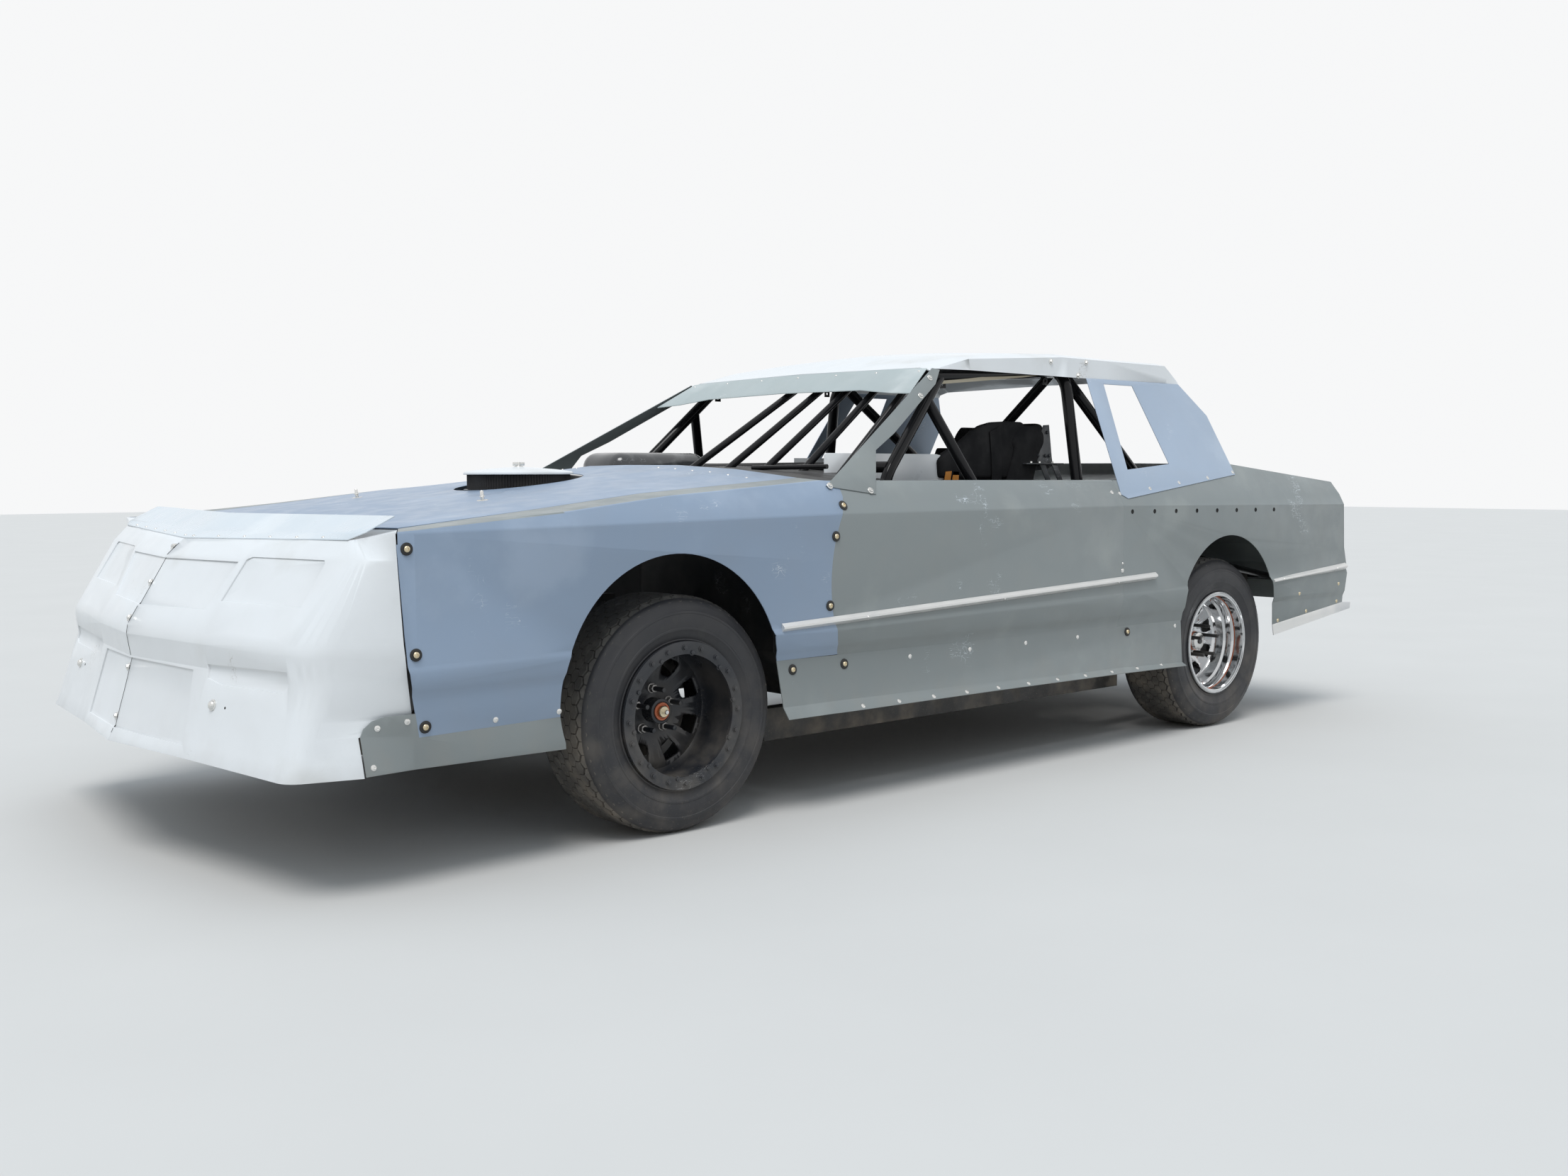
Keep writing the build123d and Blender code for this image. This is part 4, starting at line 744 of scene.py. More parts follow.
@dataclass(frozen=True)
class Wheel:
    """One road wheel: tyre with tread, rim with its stepped barrel, studs and hub."""

    look: WheelLook
    side: str
    tyre_line: tuple = (
        (197, 103), (205, 109), (212, 113.5), (216, 114.6), (219, 113.6), (232, 119), (244, 123), (246, 124.6),
        (251, 124.9), (253, 123.6), (266, 125), (280, 124.6), (291, 123), (293, 124.2), (299, 123.4), (301, 121.4),
        (312, 118.2), (323, 113), (330, 107.5), (334.5, 100))
    lugs: tuple = (63.5, -30.0, 5, 18.0)
    ring_circles: tuple = ((195.0, 128.0, 1, 0.0), (181.0, 125.0, 2, 9.0))
    bolt: tuple = ((9.0, 1.6, 20, 0.3), (6.6, 6.5, 6, 0.8))
    nut: tuple = ((15.0, 3.0, 24, 0.6), (12.5, 17.0, 6, 1.6))
    stud: tuple = (7.0, 14, 1.0)
    lip: tuple = (201.0, 118.0, 3.4)
    slots: int = 8
    slot: tuple = (104.0, 157.0, 19.0, 31.0)
    slot_softness: float = 11.0
    slot_z: tuple = (-90, 30)
    tyre_sides: int = 120
    rim_sides: int = 96
    hub_sides: int = 48
    roll_steps: int = 10

    @property
    def name(self) -> str:
        """The wheel's corner of the car."""
        return f"{self.look.end}_{self.side}"

    @property
    def matrix(self) -> Matrix:
        """The wheel's placement, with Z along the axle and outward."""
        out = 1 if self.side == "left" else -1
        axle = AXLE_X if self.look.end == "front" else -AXLE_X
        return facing(place(axle, out * WHEEL_Y, TYRE_R), Vector((0, out, 0)))

    def build(self, rim: Object) -> None:
        """Makes the tyre and the rim's trim, and opens the rim's slots.

        Args:
            rim: the soft copy of the CAD rim.
        """
        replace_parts(self._tyre(), f"tyre_{self.name}")
        self._open_slots(rim)
        self._trim()

    def _piece(self, name: str, slot: str) -> Piece:
        """Starts a piece that turns with the wheel."""
        return Piece(name, slot, f"wheel_{self.name}")

    def _open_slots(self, rim: Object) -> None:
        """Widens the rim's slots to rounded wedges.

        Args:
            rim: the soft copy of the CAD rim.
        """
        mesh = bmesh.new()
        inner, outer, narrow, wide = self.slot
        low, high = self.slot_z
        outline = ((inner, -narrow), (outer, -wide), (outer, wide), (inner, narrow))
        mesh.faces.new([mesh.verts.new(Vector((x, y, low)) * MM) for x, y in outline])
        soften(mesh, mesh.verts[:], self.slot_softness, 5, "VERTICES")
        pull(mesh, bmesh.ops.extrude_face_region(mesh, geom=mesh.faces[:]), (0, 0, high - low))
        cutter = self._piece(f"slots_{self.name}", self.look.barrel.name)
        wedges = Form.turned_round(mesh, self.slots, 180 / self.slots)
        tool = cutter.add(wedges, self.look.barrel, self.matrix).finish()
        opening = rim.modifiers.new("slots", "BOOLEAN")
        opening.operation = "DIFFERENCE"
        opening.object = tool
        data = evaluated(rim)
        rim.modifiers.clear()
        rim.data = data
        bpy.data.objects.remove(tool)

    def _tyre(self) -> Object:
        """The tyre with its ribs and tread.

        Returns:
            The finished tyre.
        """
        piece = self._piece(f"tyre_{self.name}_dressed", "tyre")
        section = [*self.tyre_line, *[(radius, -out) for radius, out in reversed(self.tyre_line)]]
        piece.add(Form.lathe([*section, section[0]], self.tyre_sides), Paint.tyre, self.matrix)
        tread = Tread()
        for index in range(tread.rows + 2):
            row = index - (tread.rows + 1) / 2
            # The tread blocks take the lighter rubber, which has painted light in it.
            piece.add(tread.block(row, (index % 2) / 2), Paint.tread, self.matrix)
        return piece.finish(smooth_deg=32.0)

    def _trim(self) -> None:
        """The stepped barrel, rolled lip, bolts, studs and hub."""
        look = self.look
        piece = self._piece(f"rim_{self.name}_trim", look.barrel.name)
        middle, out, radius = self.lip
        turns = [math.tau * step / self.roll_steps for step in range(self.roll_steps + 1)]
        roll = [(middle + radius * math.cos(turn), out + radius * math.sin(turn)) for turn in turns]
        for line in (look.liner, roll):
            piece.add(Form.lathe(line, self.rim_sides), look.barrel, self.matrix)
        stud_r, sides, softness = self.stud
        stud = (stud_r, look.stud_rise, sides, softness)
        circles = [(look.nut, self.nut, self.lugs), (look.stud, (stud,), self.lugs)]
        for radius, face, share, start in self.ring_circles if look.ring_bolts else ():
            circles.append((look.barrel, self.bolt, (radius, face, look.ring_bolts // share, start)))
        for paint, forms, (radius, face, count, start) in circles:
            for form in forms:
                mesh = placed(Form.prism(*form), moved_up(face, radius))
                piece.add(Form.turned_round(mesh, count, start), paint, self.matrix)
        for line, paint in look.hub:
            piece.add(Form.lathe(line, self.hub_sides), paint, self.matrix)
        piece.finish()


class Skin:
    """The car's own surfaces, to set fasteners on."""

    REACH = 3.0
    SIDE_Y = 1500.0
    AHEAD_X = 3600.0
    ABOVE_Z = 2600.0

    def __init__(self, panels: Iterable[Object]) -> None:
        """Reads the surfaces of some panels.

        Args:
            panels: the panels.
        """
        self.trees = []
        for panel in panels:
            mesh = working_copy(panel.data)
            self.trees.append(BVHTree.FromBMesh(mesh))
            mesh.free()

    def hit(self, origin: Vector, direction: Sequence[float]) -> Matrix:
        """Finds the first surface along a line.

        Args:
            origin: where the line starts, in metres.
            direction: where it goes.

        Returns:
            The placement there, facing out of the surface.
        """
        way = Vector(direction)
        found = [tree.ray_cast(origin, way, self.REACH) for tree in self.trees]
        point, normal, _, _ = min((one for one in found if one[0]), key=lambda one: one[3])
        return facing(point, -normal if normal.dot(way) > 0 else normal)

    def beside(self, x: float, z: float, side: int) -> Matrix:
        """A placement on the car's left side (1) or right side (-1)."""
        return self.hit(place(x, side * self.SIDE_Y, z), (0, -side, 0))

    def ahead(self, y: float, z: float) -> Matrix:
        """A placement on the nose, given as millimetres from the middle and height."""
        return self.hit(place(self.AHEAD_X, y, z), (-1, 0, 0))

    def above(self, x: float, y: float) -> Matrix:
        """A placement on top of the car, given in millimetres."""
        return self.hit(place(x, y, self.ABOVE_Z), (0, 0, -1))


RIVET_LINE = ((8.0, 0), (7.6, 1.0), (5.0, 2.2), (2.8, 2.7), (2.5, 1.7), (0, 1.5))


class Fastener(Enum):
    """Kinds of fastener, each as parts: section, sides and finish."""

    washer_bolt = (
        (((16, 0), (16, 2.0), (14.6, 3.2), (9.4, 3.4), (8.6, 2.6), (0, 2.6)), 28, Paint.rubber),
        (((8.6, 2.4), (8.5, 4.4), (6.6, 6.6), (3.6, 7.4), (3.3, 5.4), (0, 5.4)), 24, Paint.gold),
    )
    rivet = ((RIVET_LINE, 20, Paint.bright),)
    brass_rivet = ((RIVET_LINE, 20, Paint.gold),)
    small_rivet = ((((4.6, 0), (4.3, 1.0), (2.6, 2.2), (0, 2.5)), 14, Paint.bright),)
    # The holes are thin dark discs laid on the panel, with no opening cut: their dark centre is painted shade.
    hole = ((((8.4, 0), (8.2, 0.7), (6.8, 0.9), (6.2, 0.4), (0, 0.3)), 20, Paint.hole),)
    pinhole = ((((3.4, 0), (3.2, 0.6), (2.6, 0.6), (2.4, 0.3), (0, 0.3)), 12, Paint.hole),)
    bolt = (
        (((11, 0), (11, 1.8), (10.2, 2.4), (0, 2.4)), 24, Paint.bright),
        (((7.4, 2.2), (7.2, 5.2), (5.4, 7.2), (3.0, 7.6), (2.8, 5.8), (0, 5.8)), 6, Paint.bright),
    )
    cap_bolt = (
        (((15, 0), (15, 2.2), (13.8, 3.0), (0, 3.0)), 28, Paint.bright),
        (((11.5, 2.8), (11.2, 5.0), (9.4, 8.4), (5.0, 10.6), (0, 11.2)), 24, Paint.bright),
    )
    pin = (
        (((17, 0), (16.6, 1.4), (14, 1.8), (0, 1.8)), 28, Paint.bright),
        (((5.2, 1.6), (5.2, 27), (3.6, 29), (0, 29)), 16, Paint.bright),
        (((7.4, 11), (9.0, 12.4), (7.4, 13.8)), 16, Paint.bright),
    )


def row(start: tuple, end: tuple, count: int) -> list[tuple]:
    """Evenly spaced places from one to another."""
    shares = [step / (count - 1) for step in range(count)]
    return [tuple(low + (high - low) * share for low, high in zip(start, end)) for share in shares]


SIDE_SPOTS = {
    Fastener.washer_bolt: ((2253, 849), (2234, 590), (2202, 407), (779, 931), (822, 838), (847, 628), (765, 441),
                           (981, 442), (-708, 436)),
    Fastener.rivet: ((470, 440), (179, 440), (-114, 439), (-407, 438), (-1020, 437), (-608, 958), (-642, 669),
                     (-654, 953), (-854, 970), (-1066, 991), (-1282, 1009), (-1485, 1031), (2325, 416), (2346, 325),
                     (2250, 425), (2003, 403), (1811, 404), *row((704, 306), (-915, 296), 11)),
    # Painted holes: dark discs of painted shade along the quarter.
    Fastener.hole: row((-698, 886), (-1687, 877), 8),
    Fastener.brass_rivet: ((-1910, 515), (-1988, 435), (-2237, 541), (-2246, 463), (-1759, 410)),
    Fastener.small_rivet: ((695, 585), (38, 603), (-604, 628), (-1760, 585), (-2200, 611), (-642, 696)),
    Fastener.bolt: ((807, 991), (640, 975), (140, 1356), (225, 1290), (-557, 1446), (-774, 1452), (-720, 1400)),
}
NOSE_SPOTS = {
    Fastener.cap_bolt: ((467, 447), (-646, 451)),
    # Painted pinholes: small dark discs of painted shade on the nose.
    Fastener.pinhole: ((528, 446), (-584, 453)),
    Fastener.bolt: ((-13, 830), (-13, 733), (-13, 639), (-13, 504), (-13, 372)),
}
LIP_CORNERS = ((2424, 30), (2387, 292), (2354, 545), (2326, 790))
LIP_SPOTS = [spot for near, far in zip(LIP_CORNERS, LIP_CORNERS[1:]) for spot in row(near, far, 3)[:2]]
TOP_SPOTS = {
    Fastener.pin: ((1724, 399), (1724, -399)),
    Fastener.small_rivet: (
        *row((122, -625), (122, 625), 7), *row((965, 240), (965, 690), 6), *row((965, -240), (965, -690), 6),
        *row((-1560, -740), (-1560, 740), 9), *row((-2225, -740), (-2225, 740), 9),
        *LIP_SPOTS, *[(x, -y) for x, y in LIP_SPOTS],
    ),
}


@dataclass(frozen=True)
class Fasteners:
    """Every bolt, rivet and hole in the body's panels, as one piece for each kind."""

    skin: Skin

    def build(self) -> None:
        """Finds every place and makes the pieces."""
        for kind in Fastener:
            spots = [self.skin.beside(x, z, side) for side in (1, -1) for x, z in SIDE_SPOTS.get(kind, ())]
            spots += [self.skin.ahead(y, z) for y, z in NOSE_SPOTS.get(kind, ())]
            spots += [self.skin.above(x, y) for x, y in TOP_SPOTS.get(kind, ())]
            piece = Piece(f"fasteners_{kind.name}", "steel")
            for spot in spots:
                for line, sides, paint in kind.value:
                    piece.add(Form.lathe(line, sides), paint, spot)
            piece.finish(smooth_deg=40.0)


@dataclass(frozen=True)
class NoseSeam:
    """The dark open joint between the two halves of the nose."""

    aside: float = -6.0
    low_z: int = 330
    high_z: int = 850
    step: int = 10
    radius: float = 1.5

    def build(self, skin: Skin) -> None:
        """Lays the joint on the nose.

        Args:
            skin: the car's surfaces.
        """
        piece = Piece("nose_seam", "white_body")
        spots = [skin.ahead(self.aside, z).translation for z in range(self.low_z, self.high_z, self.step)]
        for spot in spots:
            spot.y = 0.0
        for start, end in zip(spots, spots[1:]):
            piece.add(Form.tube(start, end, self.radius, 8), Paint.hole)
        piece.finish()


@dataclass(frozen=True)
class AirCleaner:
    """The round filter over the hood: base, wrapped element, lid and wing nut."""

    spot: tuple = (1359.0, 10.0, 972.0)
    base: tuple = ((0, 0.5), (150, 0.5), (172, 2), (177.5, 5), (177.5, 8), (172, 9.5), (150, 10), (0, 10))
    lid: tuple = ((0, 82), (12, 82), (16, 80.5), (60, 78), (120, 73), (158, 68.5), (171, 66), (176.5, 62),
                  (177.6, 57), (176, 56), (170, 58), (150, 62), (0, 64))
    nut: tuple = ((0, 97), (4, 97), (5, 95), (5, 84), (13, 83.5), (14, 81.5), (14, 80))
    sides: int = 72
    wings: tuple = (44, 4, 12)
    wings_softness: float = 1.6
    wings_z: float = 90.0
    pleats: int = 110
    element_r: float = 166.0
    element_z: tuple = (8.0, 62.0)
    pleat_share: float = 0.968

    def build(self) -> None:
        """Makes the filter in the place of its CAD node."""
        piece = Piece("air_cleaner_dressed", "filter")
        matrix = moved(*self.spot)
        piece.add(Form.lathe(self.base, self.sides), Paint.black_rim, matrix)
        piece.add(self._element(), Paint.filter, matrix)
        piece.add(Form.lathe(self.lid, self.sides), Paint.white_body, matrix)
        piece.add(Form.lathe(self.nut, 16), Paint.bright, matrix)
        wings = Form.block(self.wings, self.wings_softness)
        piece.add(wings, Paint.bright, matrix @ moved_up(self.wings_z))
        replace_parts(piece.finish(), "air_cleaner")

    def _element(self) -> BMesh:
        """The pleated band between base and lid.

        Returns:
            The mesh.
        """
        mesh = bmesh.new()
        low, high = self.element_z
        bmesh.ops.create_circle(mesh, cap_ends=False, segments=2 * self.pleats, radius=self.element_r * MM)
        inner = [vert for index, vert in enumerate(mesh.verts) if index % 2]
        bmesh.ops.scale(mesh, vec=(self.pleat_share, self.pleat_share, 1), verts=inner)
        placed(mesh, moved_up(low))
        pull(mesh, bmesh.ops.extrude_edge_only(mesh, edges=mesh.edges[:]), (0, 0, high - low))
        return mesh


@dataclass(frozen=True)
class SheetShape:
    """A flat sheet cut to an outline in the car's side view."""

    outline: tuple
    y: float
    thick: float
    softness: float = 0.8

    def mesh(self) -> BMesh:
        """The sheet, upright, with softened edges.

        Returns:
            The mesh.
        """
        mesh = bmesh.new()
        mesh.faces.new([mesh.verts.new(place(x, self.y, z)) for x, z in self.outline])
        pull(mesh, bmesh.ops.extrude_face_region(mesh, geom=mesh.faces[:]), (0, self.thick, 0))
        bmesh.ops.recalc_face_normals(mesh, faces=mesh.faces)
        soften(mesh, mesh.edges[:], self.softness)
        return mesh


@dataclass(frozen=True)
class SideLedge:
    """The folded ledge along the side, below the rub rail, with the undercut beneath it."""

    out: float = 7.5
    front: tuple = (2250.0, 557.0)
    rear: tuple = (-2300.0, 600.0)
    rise: tuple = (5.0, -4.0, -13.0)
    back: tuple = (508.0, 497.0, 486.0)
    skin_y: float = 900.0

    def build(self, panels: Iterable[Object]) -> None:
        """Draws the ledge out of the soft copies of the side's panels.

        Args:
            panels: the copies.
        """
        (front_x, front_z), (rear_x, rear_z) = self.front, self.rear
        slope = (front_z - rear_z) / (front_x - rear_x)
        for panel in panels:
            with opened(panel.data) as mesh:
                for rise in self.rise:
                    cut(mesh, place(front_x, 0, front_z + rise), (-slope, 0, 1))
                for z in self.back:
                    cut(mesh, place(0, 0, z), UP)
                for vert in mesh.verts:
                    x, y, z = vert.co / MM
                    top = front_z + slope * (x - SHIFT_X - front_x) + self.rise[0]
                    over = min(max((top - z) / (self.rise[0] - self.rise[-1]), 0.0), 1.0)
                    under = min(max((z - self.back[-1]) / (self.back[0] - self.back[-1]), 0.0), 1.0)
                    if abs(y) > self.skin_y:
                        vert.co.y += math.copysign(self.out * min(over, under) * MM, y)


@dataclass(frozen=True)
class RoofCrown:
    """The soft crown that the roof's sheet has between front edge and hoop."""

    rise: float = 30.0
    front_x: int = 104
    rear_x: int = -900
    half: float = 668.0
    cuts_x: int = 80
    cuts_y: int = 100

    def build(self, roof: Object) -> None:
        """Raises the soft copy of the roof.

        Args:
            roof: the copy that stands in for the CAD node.
        """
        with opened(roof.data) as mesh:
            for x in range(self.rear_x, self.front_x, self.cuts_x):
                cut(mesh, place(x, 0, 0), (1, 0, 0))
            for y in range(-6 * self.cuts_y, 7 * self.cuts_y, self.cuts_y):
                cut(mesh, place(0, y, 0), (0, 1, 0))
            for vert in mesh.verts:
                along = (vert.co.x / MM - SHIFT_X - self.rear_x) / (self.front_x - self.rear_x)
                across = 1 - (vert.co.y / MM / self.half) ** 2
                share = math.sin(math.pi * min(max(along, 0.0), 1.0)) * max(across, 0.0)
                vert.co.z += self.rise * MM * share


@dataclass(frozen=True)
class Seat:
    """The covered racing seat: soft shell, bare outer plate with its shelf, and the belts beside it."""

    voxel: float = 8.0
    growth: float = 11.0
    rounds: int = 26
    sheets: tuple = (
        SheetShape(((-642, 1213), (-675, 1215), (-694, 1090), (-702, 1058), (-668, 1046), (-559, 1035), (-533, 1042),
                    (-529, 1078), (-544, 1106), (-587, 1127), (-610, 1142), (-618, 1168)), 562.0, 4.0),
        SheetShape(((-599, 1062), (-632, 1062), (-676, 985), (-648, 985)), 580.0, 4.0),
        SheetShape(((-672, 1062), (-705, 1062), (-749, 985), (-721, 985)), 580.0, 4.0),
    )
    shelf_at: tuple = (-622, 574, 1065)
    shelf: tuple = (226, 36, 5)
    plate_bolts: tuple = ((-661, 1186), (-650, 1096), (-556, 1090), (-606, 1096), (-674, 1096))
    plate_bolt_y: float = 566.0
    shelf_bolts: tuple = ((-556, 574), (-606, 574), (-684, 574))
    shelf_bolt_z: float = 1067.0
    plate_bolt: tuple = (7.0, 6.0, 6, 1.2)
    shelf_bolt: tuple = (7.0, 7.0, 6, 1.2)
    bolster: SheetShape = SheetShape(
        ((-61, 1012), (-54, 1076), (-92, 1104), (-177, 1143), (-241, 1182), (-290, 1206), (-352, 1219), (-442, 1224),
         (-535, 1223), (-550, 1010)), 558.0, -30.0, 11.0)
    belts: tuple = (
        (SheetShape(((-92, 1035), (-124, 1037), (-110, 960), (-78, 962)), 557.0, 3.0, 0.4), Paint.webbing),
        (SheetShape(((-134, 1036), (-166, 1035), (-160, 960), (-128, 958)), 555.0, 3.0, 0.4), Paint.webbing),
        (SheetShape(((-330, 1182), (-392, 1206), (-404, 1120), (-398, 985), (-345, 985), (-340, 1100)), 560.0, 3.0,
                    0.4), Paint.seat_cover),
    )

    def build(self, node: Object) -> None:
        """Makes the seat in the place of its CAD node.

        Args:
            node: the CAD node of the seat.
        """
        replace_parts(self._cover(node), node.name)
        plate = Piece("seat_plate", "bare_sheet")
        for sheet in self.sheets:
            plate.add(sheet.mesh(), Paint.grey_plate)
        plate.add(Form.block(self.shelf, 1.0), Paint.grey_plate, moved(*self.shelf_at))
        for x, z in self.plate_bolts:
            spot = facing(place(x, self.plate_bolt_y, z), Vector((0, 1, 0)))
            plate.add(Form.prism(*self.plate_bolt), Paint.black_rim, spot)
        for x, y in self.shelf_bolts:
            plate.add(Form.prism(*self.shelf_bolt), Paint.bright, moved(x, y, self.shelf_bolt_z))
        plate.finish()
        bolster = Piece("seat_bolster", "seat_cover").add(self.bolster.mesh(), Paint.seat_cover)
        bolster.finish(smooth_deg=60.0)
        belts = Piece("seat_belts", "seat_cover")
        for strap, paint in self.belts:
            belts.add(strap.mesh(), paint)
        belts.finish()

    def _cover(self, node: Object) -> Object:
        """The padded cover, remeshed from the sheet seat and rounded.

        Args:
            node: the CAD node of the seat.

        Returns:
            The finished cover.
        """
        form = Piece("seat_form", "seat_cover").add(working_copy(node.data), Paint.seat_cover).finish()
        remesh = form.modifiers.new("remesh", "REMESH")
        remesh.mode = "VOXEL"
        remesh.voxel_size = self.voxel * MM
        rounded = working_copy(evaluated(form))
        bpy.data.objects.remove(form)
        rounded.normal_update()
        for vert in rounded.verts:
            vert.co += vert.normal * self.growth * MM
        for _ in range(self.rounds):
            bmesh.ops.smooth_vert(rounded, verts=rounded.verts, factor=0.5, use_axis_x=True, use_axis_y=True,
                                  use_axis_z=True)
        cover = Piece("seat_cover", "seat_cover").add(rounded, Paint.seat_cover).finish(smooth_deg=75.0)
        return cover


@dataclass(frozen=True)
class Cabin:
    """Small pieces round the driver: side sheet, lining strip, cross bar and the wrapped hump."""

    side_sheet: SheetShape = SheetShape(
        ((500, 1091), (492, 1098), (-56, 1098), (-76, 1094), (-90, 1080), (-94, 1062), (-96, 968), (300, 968),
         (500, 968)), 544.0, 3.0)
    lining: SheetShape = SheetShape(
        ((74, 1337), (74, 1352), (-147, 1372), (-446, 1391), (-520, 1395), (-446, 1385), (-147, 1357)),
        634.0, 4.0, 0.5)
    bar_ends: tuple = ((632, 330, 1049), (575, 640, 1052))
    bar_r: float = 8.0
    hump_at: tuple = (622, -300, 1046)
    hump: tuple = (430, 250, 122)
    hump_softness: float = 54.0
    hump_base_z: float = 1002.0
    hump_clearance: float = 26.0

    def build(self, cowl: Object) -> None:
        """Makes every piece.

        Args:
            cowl: the soft copy of the CAD cowl, whose plain hump goes under the wrapped one.
        """
        hump_x, hump_y, _ = self.hump_at
        length, width, _ = self.hump
        for vert in cowl.data.vertices:
            x, y, z = vert.co / MM
            inside = abs(y - hump_y) < width and abs(x - SHIFT_X - hump_x) < length
            if inside and z > self.hump_base_z + self.hump_clearance:
                vert.co.z = self.hump_base_z * MM
        # The side sheet takes the whiter finish, with painted sunlight in its colour.
        Piece("driver_side_sheet", "white_body").add(self.side_sheet.mesh(), Paint.white_sheet).finish()
        Piece("roof_lining_edge", "white_body").add(self.lining.mesh(), Paint.beige).finish()
        start, end = (place(*spot) for spot in self.bar_ends)
        Piece("windscreen_cross_bar", "black_tube").add(Form.tube(start, end, self.bar_r), Paint.black_tube).finish()
        hump = Form.block(self.hump, self.hump_softness, 7)
        Piece("hump_cover", "inner_sheet").add(hump, Paint.black_wrap, moved(*self.hump_at)).finish(smooth_deg=60.0)


@dataclass(frozen=True)
class Viewpoint:
    """The place and lens that the photograph was taken with."""

    spot: tuple = (3.8592, 4.2635, 1.0265)
    yaw_deg: float = -131.786
    pitch_deg: float = -4.294
    roll_deg: float = -0.136
    focal_px: float = 2134.7
    image_width_px: int = 2212
    sensor_mm: float = 36.0

    def build(self) -> None:
        """Makes the camera and gives it to the scene."""
        data = bpy.data.cameras.new("photo_camera")
        data.sensor_width = self.sensor_mm
        data.lens = self.sensor_mm * self.focal_px / self.image_width_px
        camera = in_scene("photo_camera", data)
        camera.location = self.spot
        camera.rotation_mode = "QUATERNION"
        yaw, pitch = math.radians(self.yaw_deg), math.radians(self.pitch_deg)
        forward = Vector((math.cos(yaw) * math.cos(pitch), math.sin(yaw) * math.cos(pitch), math.sin(pitch)))
        camera.rotation_quaternion = forward.to_track_quat("-Z", "Y") @ Quaternion(UP, math.radians(self.roll_deg))
        bpy.context.scene.camera = camera


@dataclass(frozen=True)
class Studio:
    """Pale floor, one soft lamp and a plain background."""

    floor_half: float = 40.0
    floor_color: tuple = (0.62, 0.60, 0.57)
    floor_shade: float = 0.94
    floor_roughness: float = 0.9
    sky_color: tuple = (0.76, 0.88, 1.0, 1.0)
    ground_color: tuple = (0.34, 0.35, 0.36, 1.0)
    horizon: tuple = (-0.02, 0.95)
    fill_strength: float = 1.06
    backdrop: tuple = (0.93, 0.935, 0.94, 1.0)
    sun_strength: float = 1.65
    sun_spread_deg: float = 28.0
    sun_from: tuple = (0.34, 0.28, 0.90)

    def build(self) -> None:
        """Makes the floor, the sun and the world light."""
        self._floor()
        self._sun()
        self._world()

    def _floor(self) -> None:
        """Lays the floor that takes the car's shadow."""
        data = bpy.data.meshes.new("floor")
        with opened(data) as mesh:
            bmesh.ops.create_grid(mesh, x_segments=1, y_segments=1, size=self.floor_half)
        floor = in_scene("floor", data)
        material, graph, surface = new_material("floor")
        cloud = graph.noise(graph.add("ShaderNodeTexCoord").outputs["Object"], 1.5, 8.0)
        shade = [channel * self.floor_shade for channel in self.floor_color]
        tone = graph.mix(cloud, (*shade, 1.0), (*self.floor_color, 1.0))
        graph.fill(surface, {"Base Color": tone, "Roughness": self.floor_roughness})
        floor.data.materials.append(material)

    def _sun(self) -> None:
        """Hangs one broad, soft lamp."""
        data = bpy.data.lights.new("soft_sun", "SUN")
        data.energy = self.sun_strength
        data.angle = math.radians(self.sun_spread_deg)
        lamp = in_scene("soft_sun", data)
        lamp.rotation_euler = Vector(self.sun_from).to_track_quat("Z", "Y").to_euler()

    def _world(self) -> None:
        """Lights the scene from all round, brighter from above, behind a plain backdrop."""
        world = bpy.data.worlds.new("studio")
        world.use_nodes = True
        bpy.context.scene.world = world
        graph = Graph(world.node_tree)
        up = graph.add("ShaderNodeSeparateXYZ", {0: graph.add("ShaderNodeTexCoord").outputs["Generated"]})
        light = graph.mix(graph.between(up.outputs["Z"], *self.horizon), self.ground_color, self.sky_color)
        path = graph.add("ShaderNodeLightPath").outputs
        sharp = graph.math("MAXIMUM", path["Is Glossy Ray"], path["Is Transmission Ray"])
        seen = graph.math("MAXIMUM", path["Is Camera Ray"], sharp)
        strength = graph.add("ShaderNodeMapRange", {"Value": seen, "To Min": self.fill_strength, "To Max": 1.0})
        inputs = {"Color": graph.mix(seen, light, self.backdrop), "Strength": strength.outputs[0]}
        graph.fill(world.node_tree.nodes["Background"], inputs)


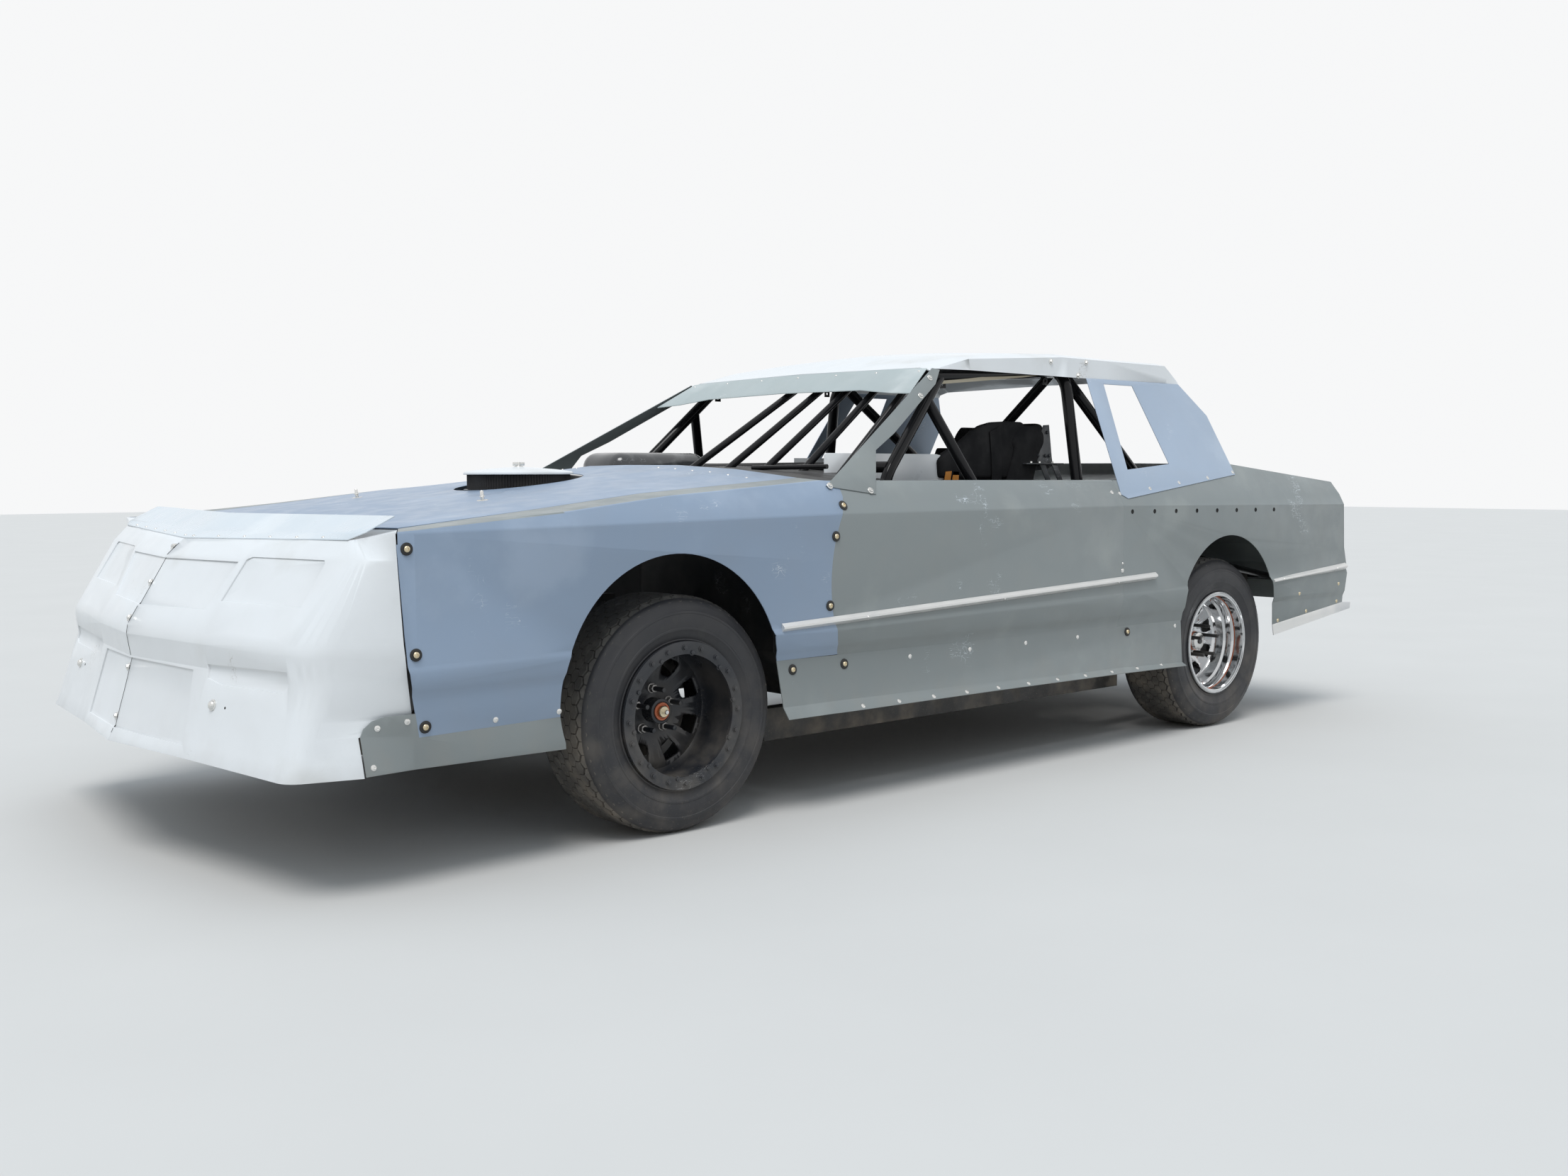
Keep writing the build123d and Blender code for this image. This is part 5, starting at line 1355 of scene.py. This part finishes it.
SKIN_PANELS = ("nose", "nose_lip", "hood", "fenders", "doors", "quarters", "lower_panels", "rear_skirts",
               "rub_rails", "a_plates", "c_plates", "roof", "visor", "deck_lid")
# The C plates take the lighter blue, which raises their brightness.
NODE_PAINTS = {"visor": Paint.pale_grey_paint, "c_plates": Paint.pale_blue_paint, "nose_lip": Paint.lip_plastic}
NODE_CREASES = {"nose": 5.5, "hood": 0.0, "roof": 24.0, "visor": 12.0}
FLANGE_FACES_UP = 0.97


def soften_nodes(frame: dict, left_out: Iterable[str]) -> dict[str, Object]:
    """Puts a soft-edged, finished copy in the place of every CAD node but a few.

    Args:
        frame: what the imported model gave.
        left_out: nodes that have a piece of their own.

    Returns:
        The soft copies by node.
    """
    slots = {part["node"]: part["material_slot"] for part in frame["record"]["subparts"]}
    bodies = {node: body for body, nodes in frame["record"]["behaviour"]["bodies"].items() for node in nodes}
    soft = {}
    for name, node in frame["nodes"].items():
        if name not in left_out:
            panel = SoftPanel(node, NODE_CREASES.get(name, SoftPanel.crease))
            paint = NODE_PAINTS.get(name, Paint[slots[name]])
            soft[name] = panel.build(slots[name], bodies[name], paint)
    Paint.green_grey_paint.put_on(soft["fenders"])
    for face in soft["fenders"].data.polygons:
        face.material_index = int(face.normal.z > FLANGE_FACES_UP)
    return soft


def main() -> None:
    """Builds every part of the scene in order."""
    logging.basicConfig(level=logging.INFO, format="%(name)s: %(message)s")
    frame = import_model()
    bpy.context.scene.view_settings.view_transform = "Standard"
    Viewpoint().build()
    Studio().build()
    tyres = [name for name in frame["nodes"] if name.startswith("tyre_")]
    soft = soften_nodes(frame, [*tyres, "air_cleaner", "seat"])
    for look in WHEEL_LOOKS:
        for side in ("left", "right"):
            Wheel(look, side).build(soft[f"rim_{look.end}_{side}"])
    RoofCrown().build(soft["roof"])
    SideLedge().build(soft[name] for name in ("fenders", "doors", "quarters"))
    skin = Skin(soft[name] for name in SKIN_PANELS)
    Fasteners(skin).build()
    NoseSeam().build(skin)
    AirCleaner().build()
    Seat().build(frame["nodes"]["seat"])
    Cabin().build(soft["cowl"])


if __name__ == "__main__":
    main()
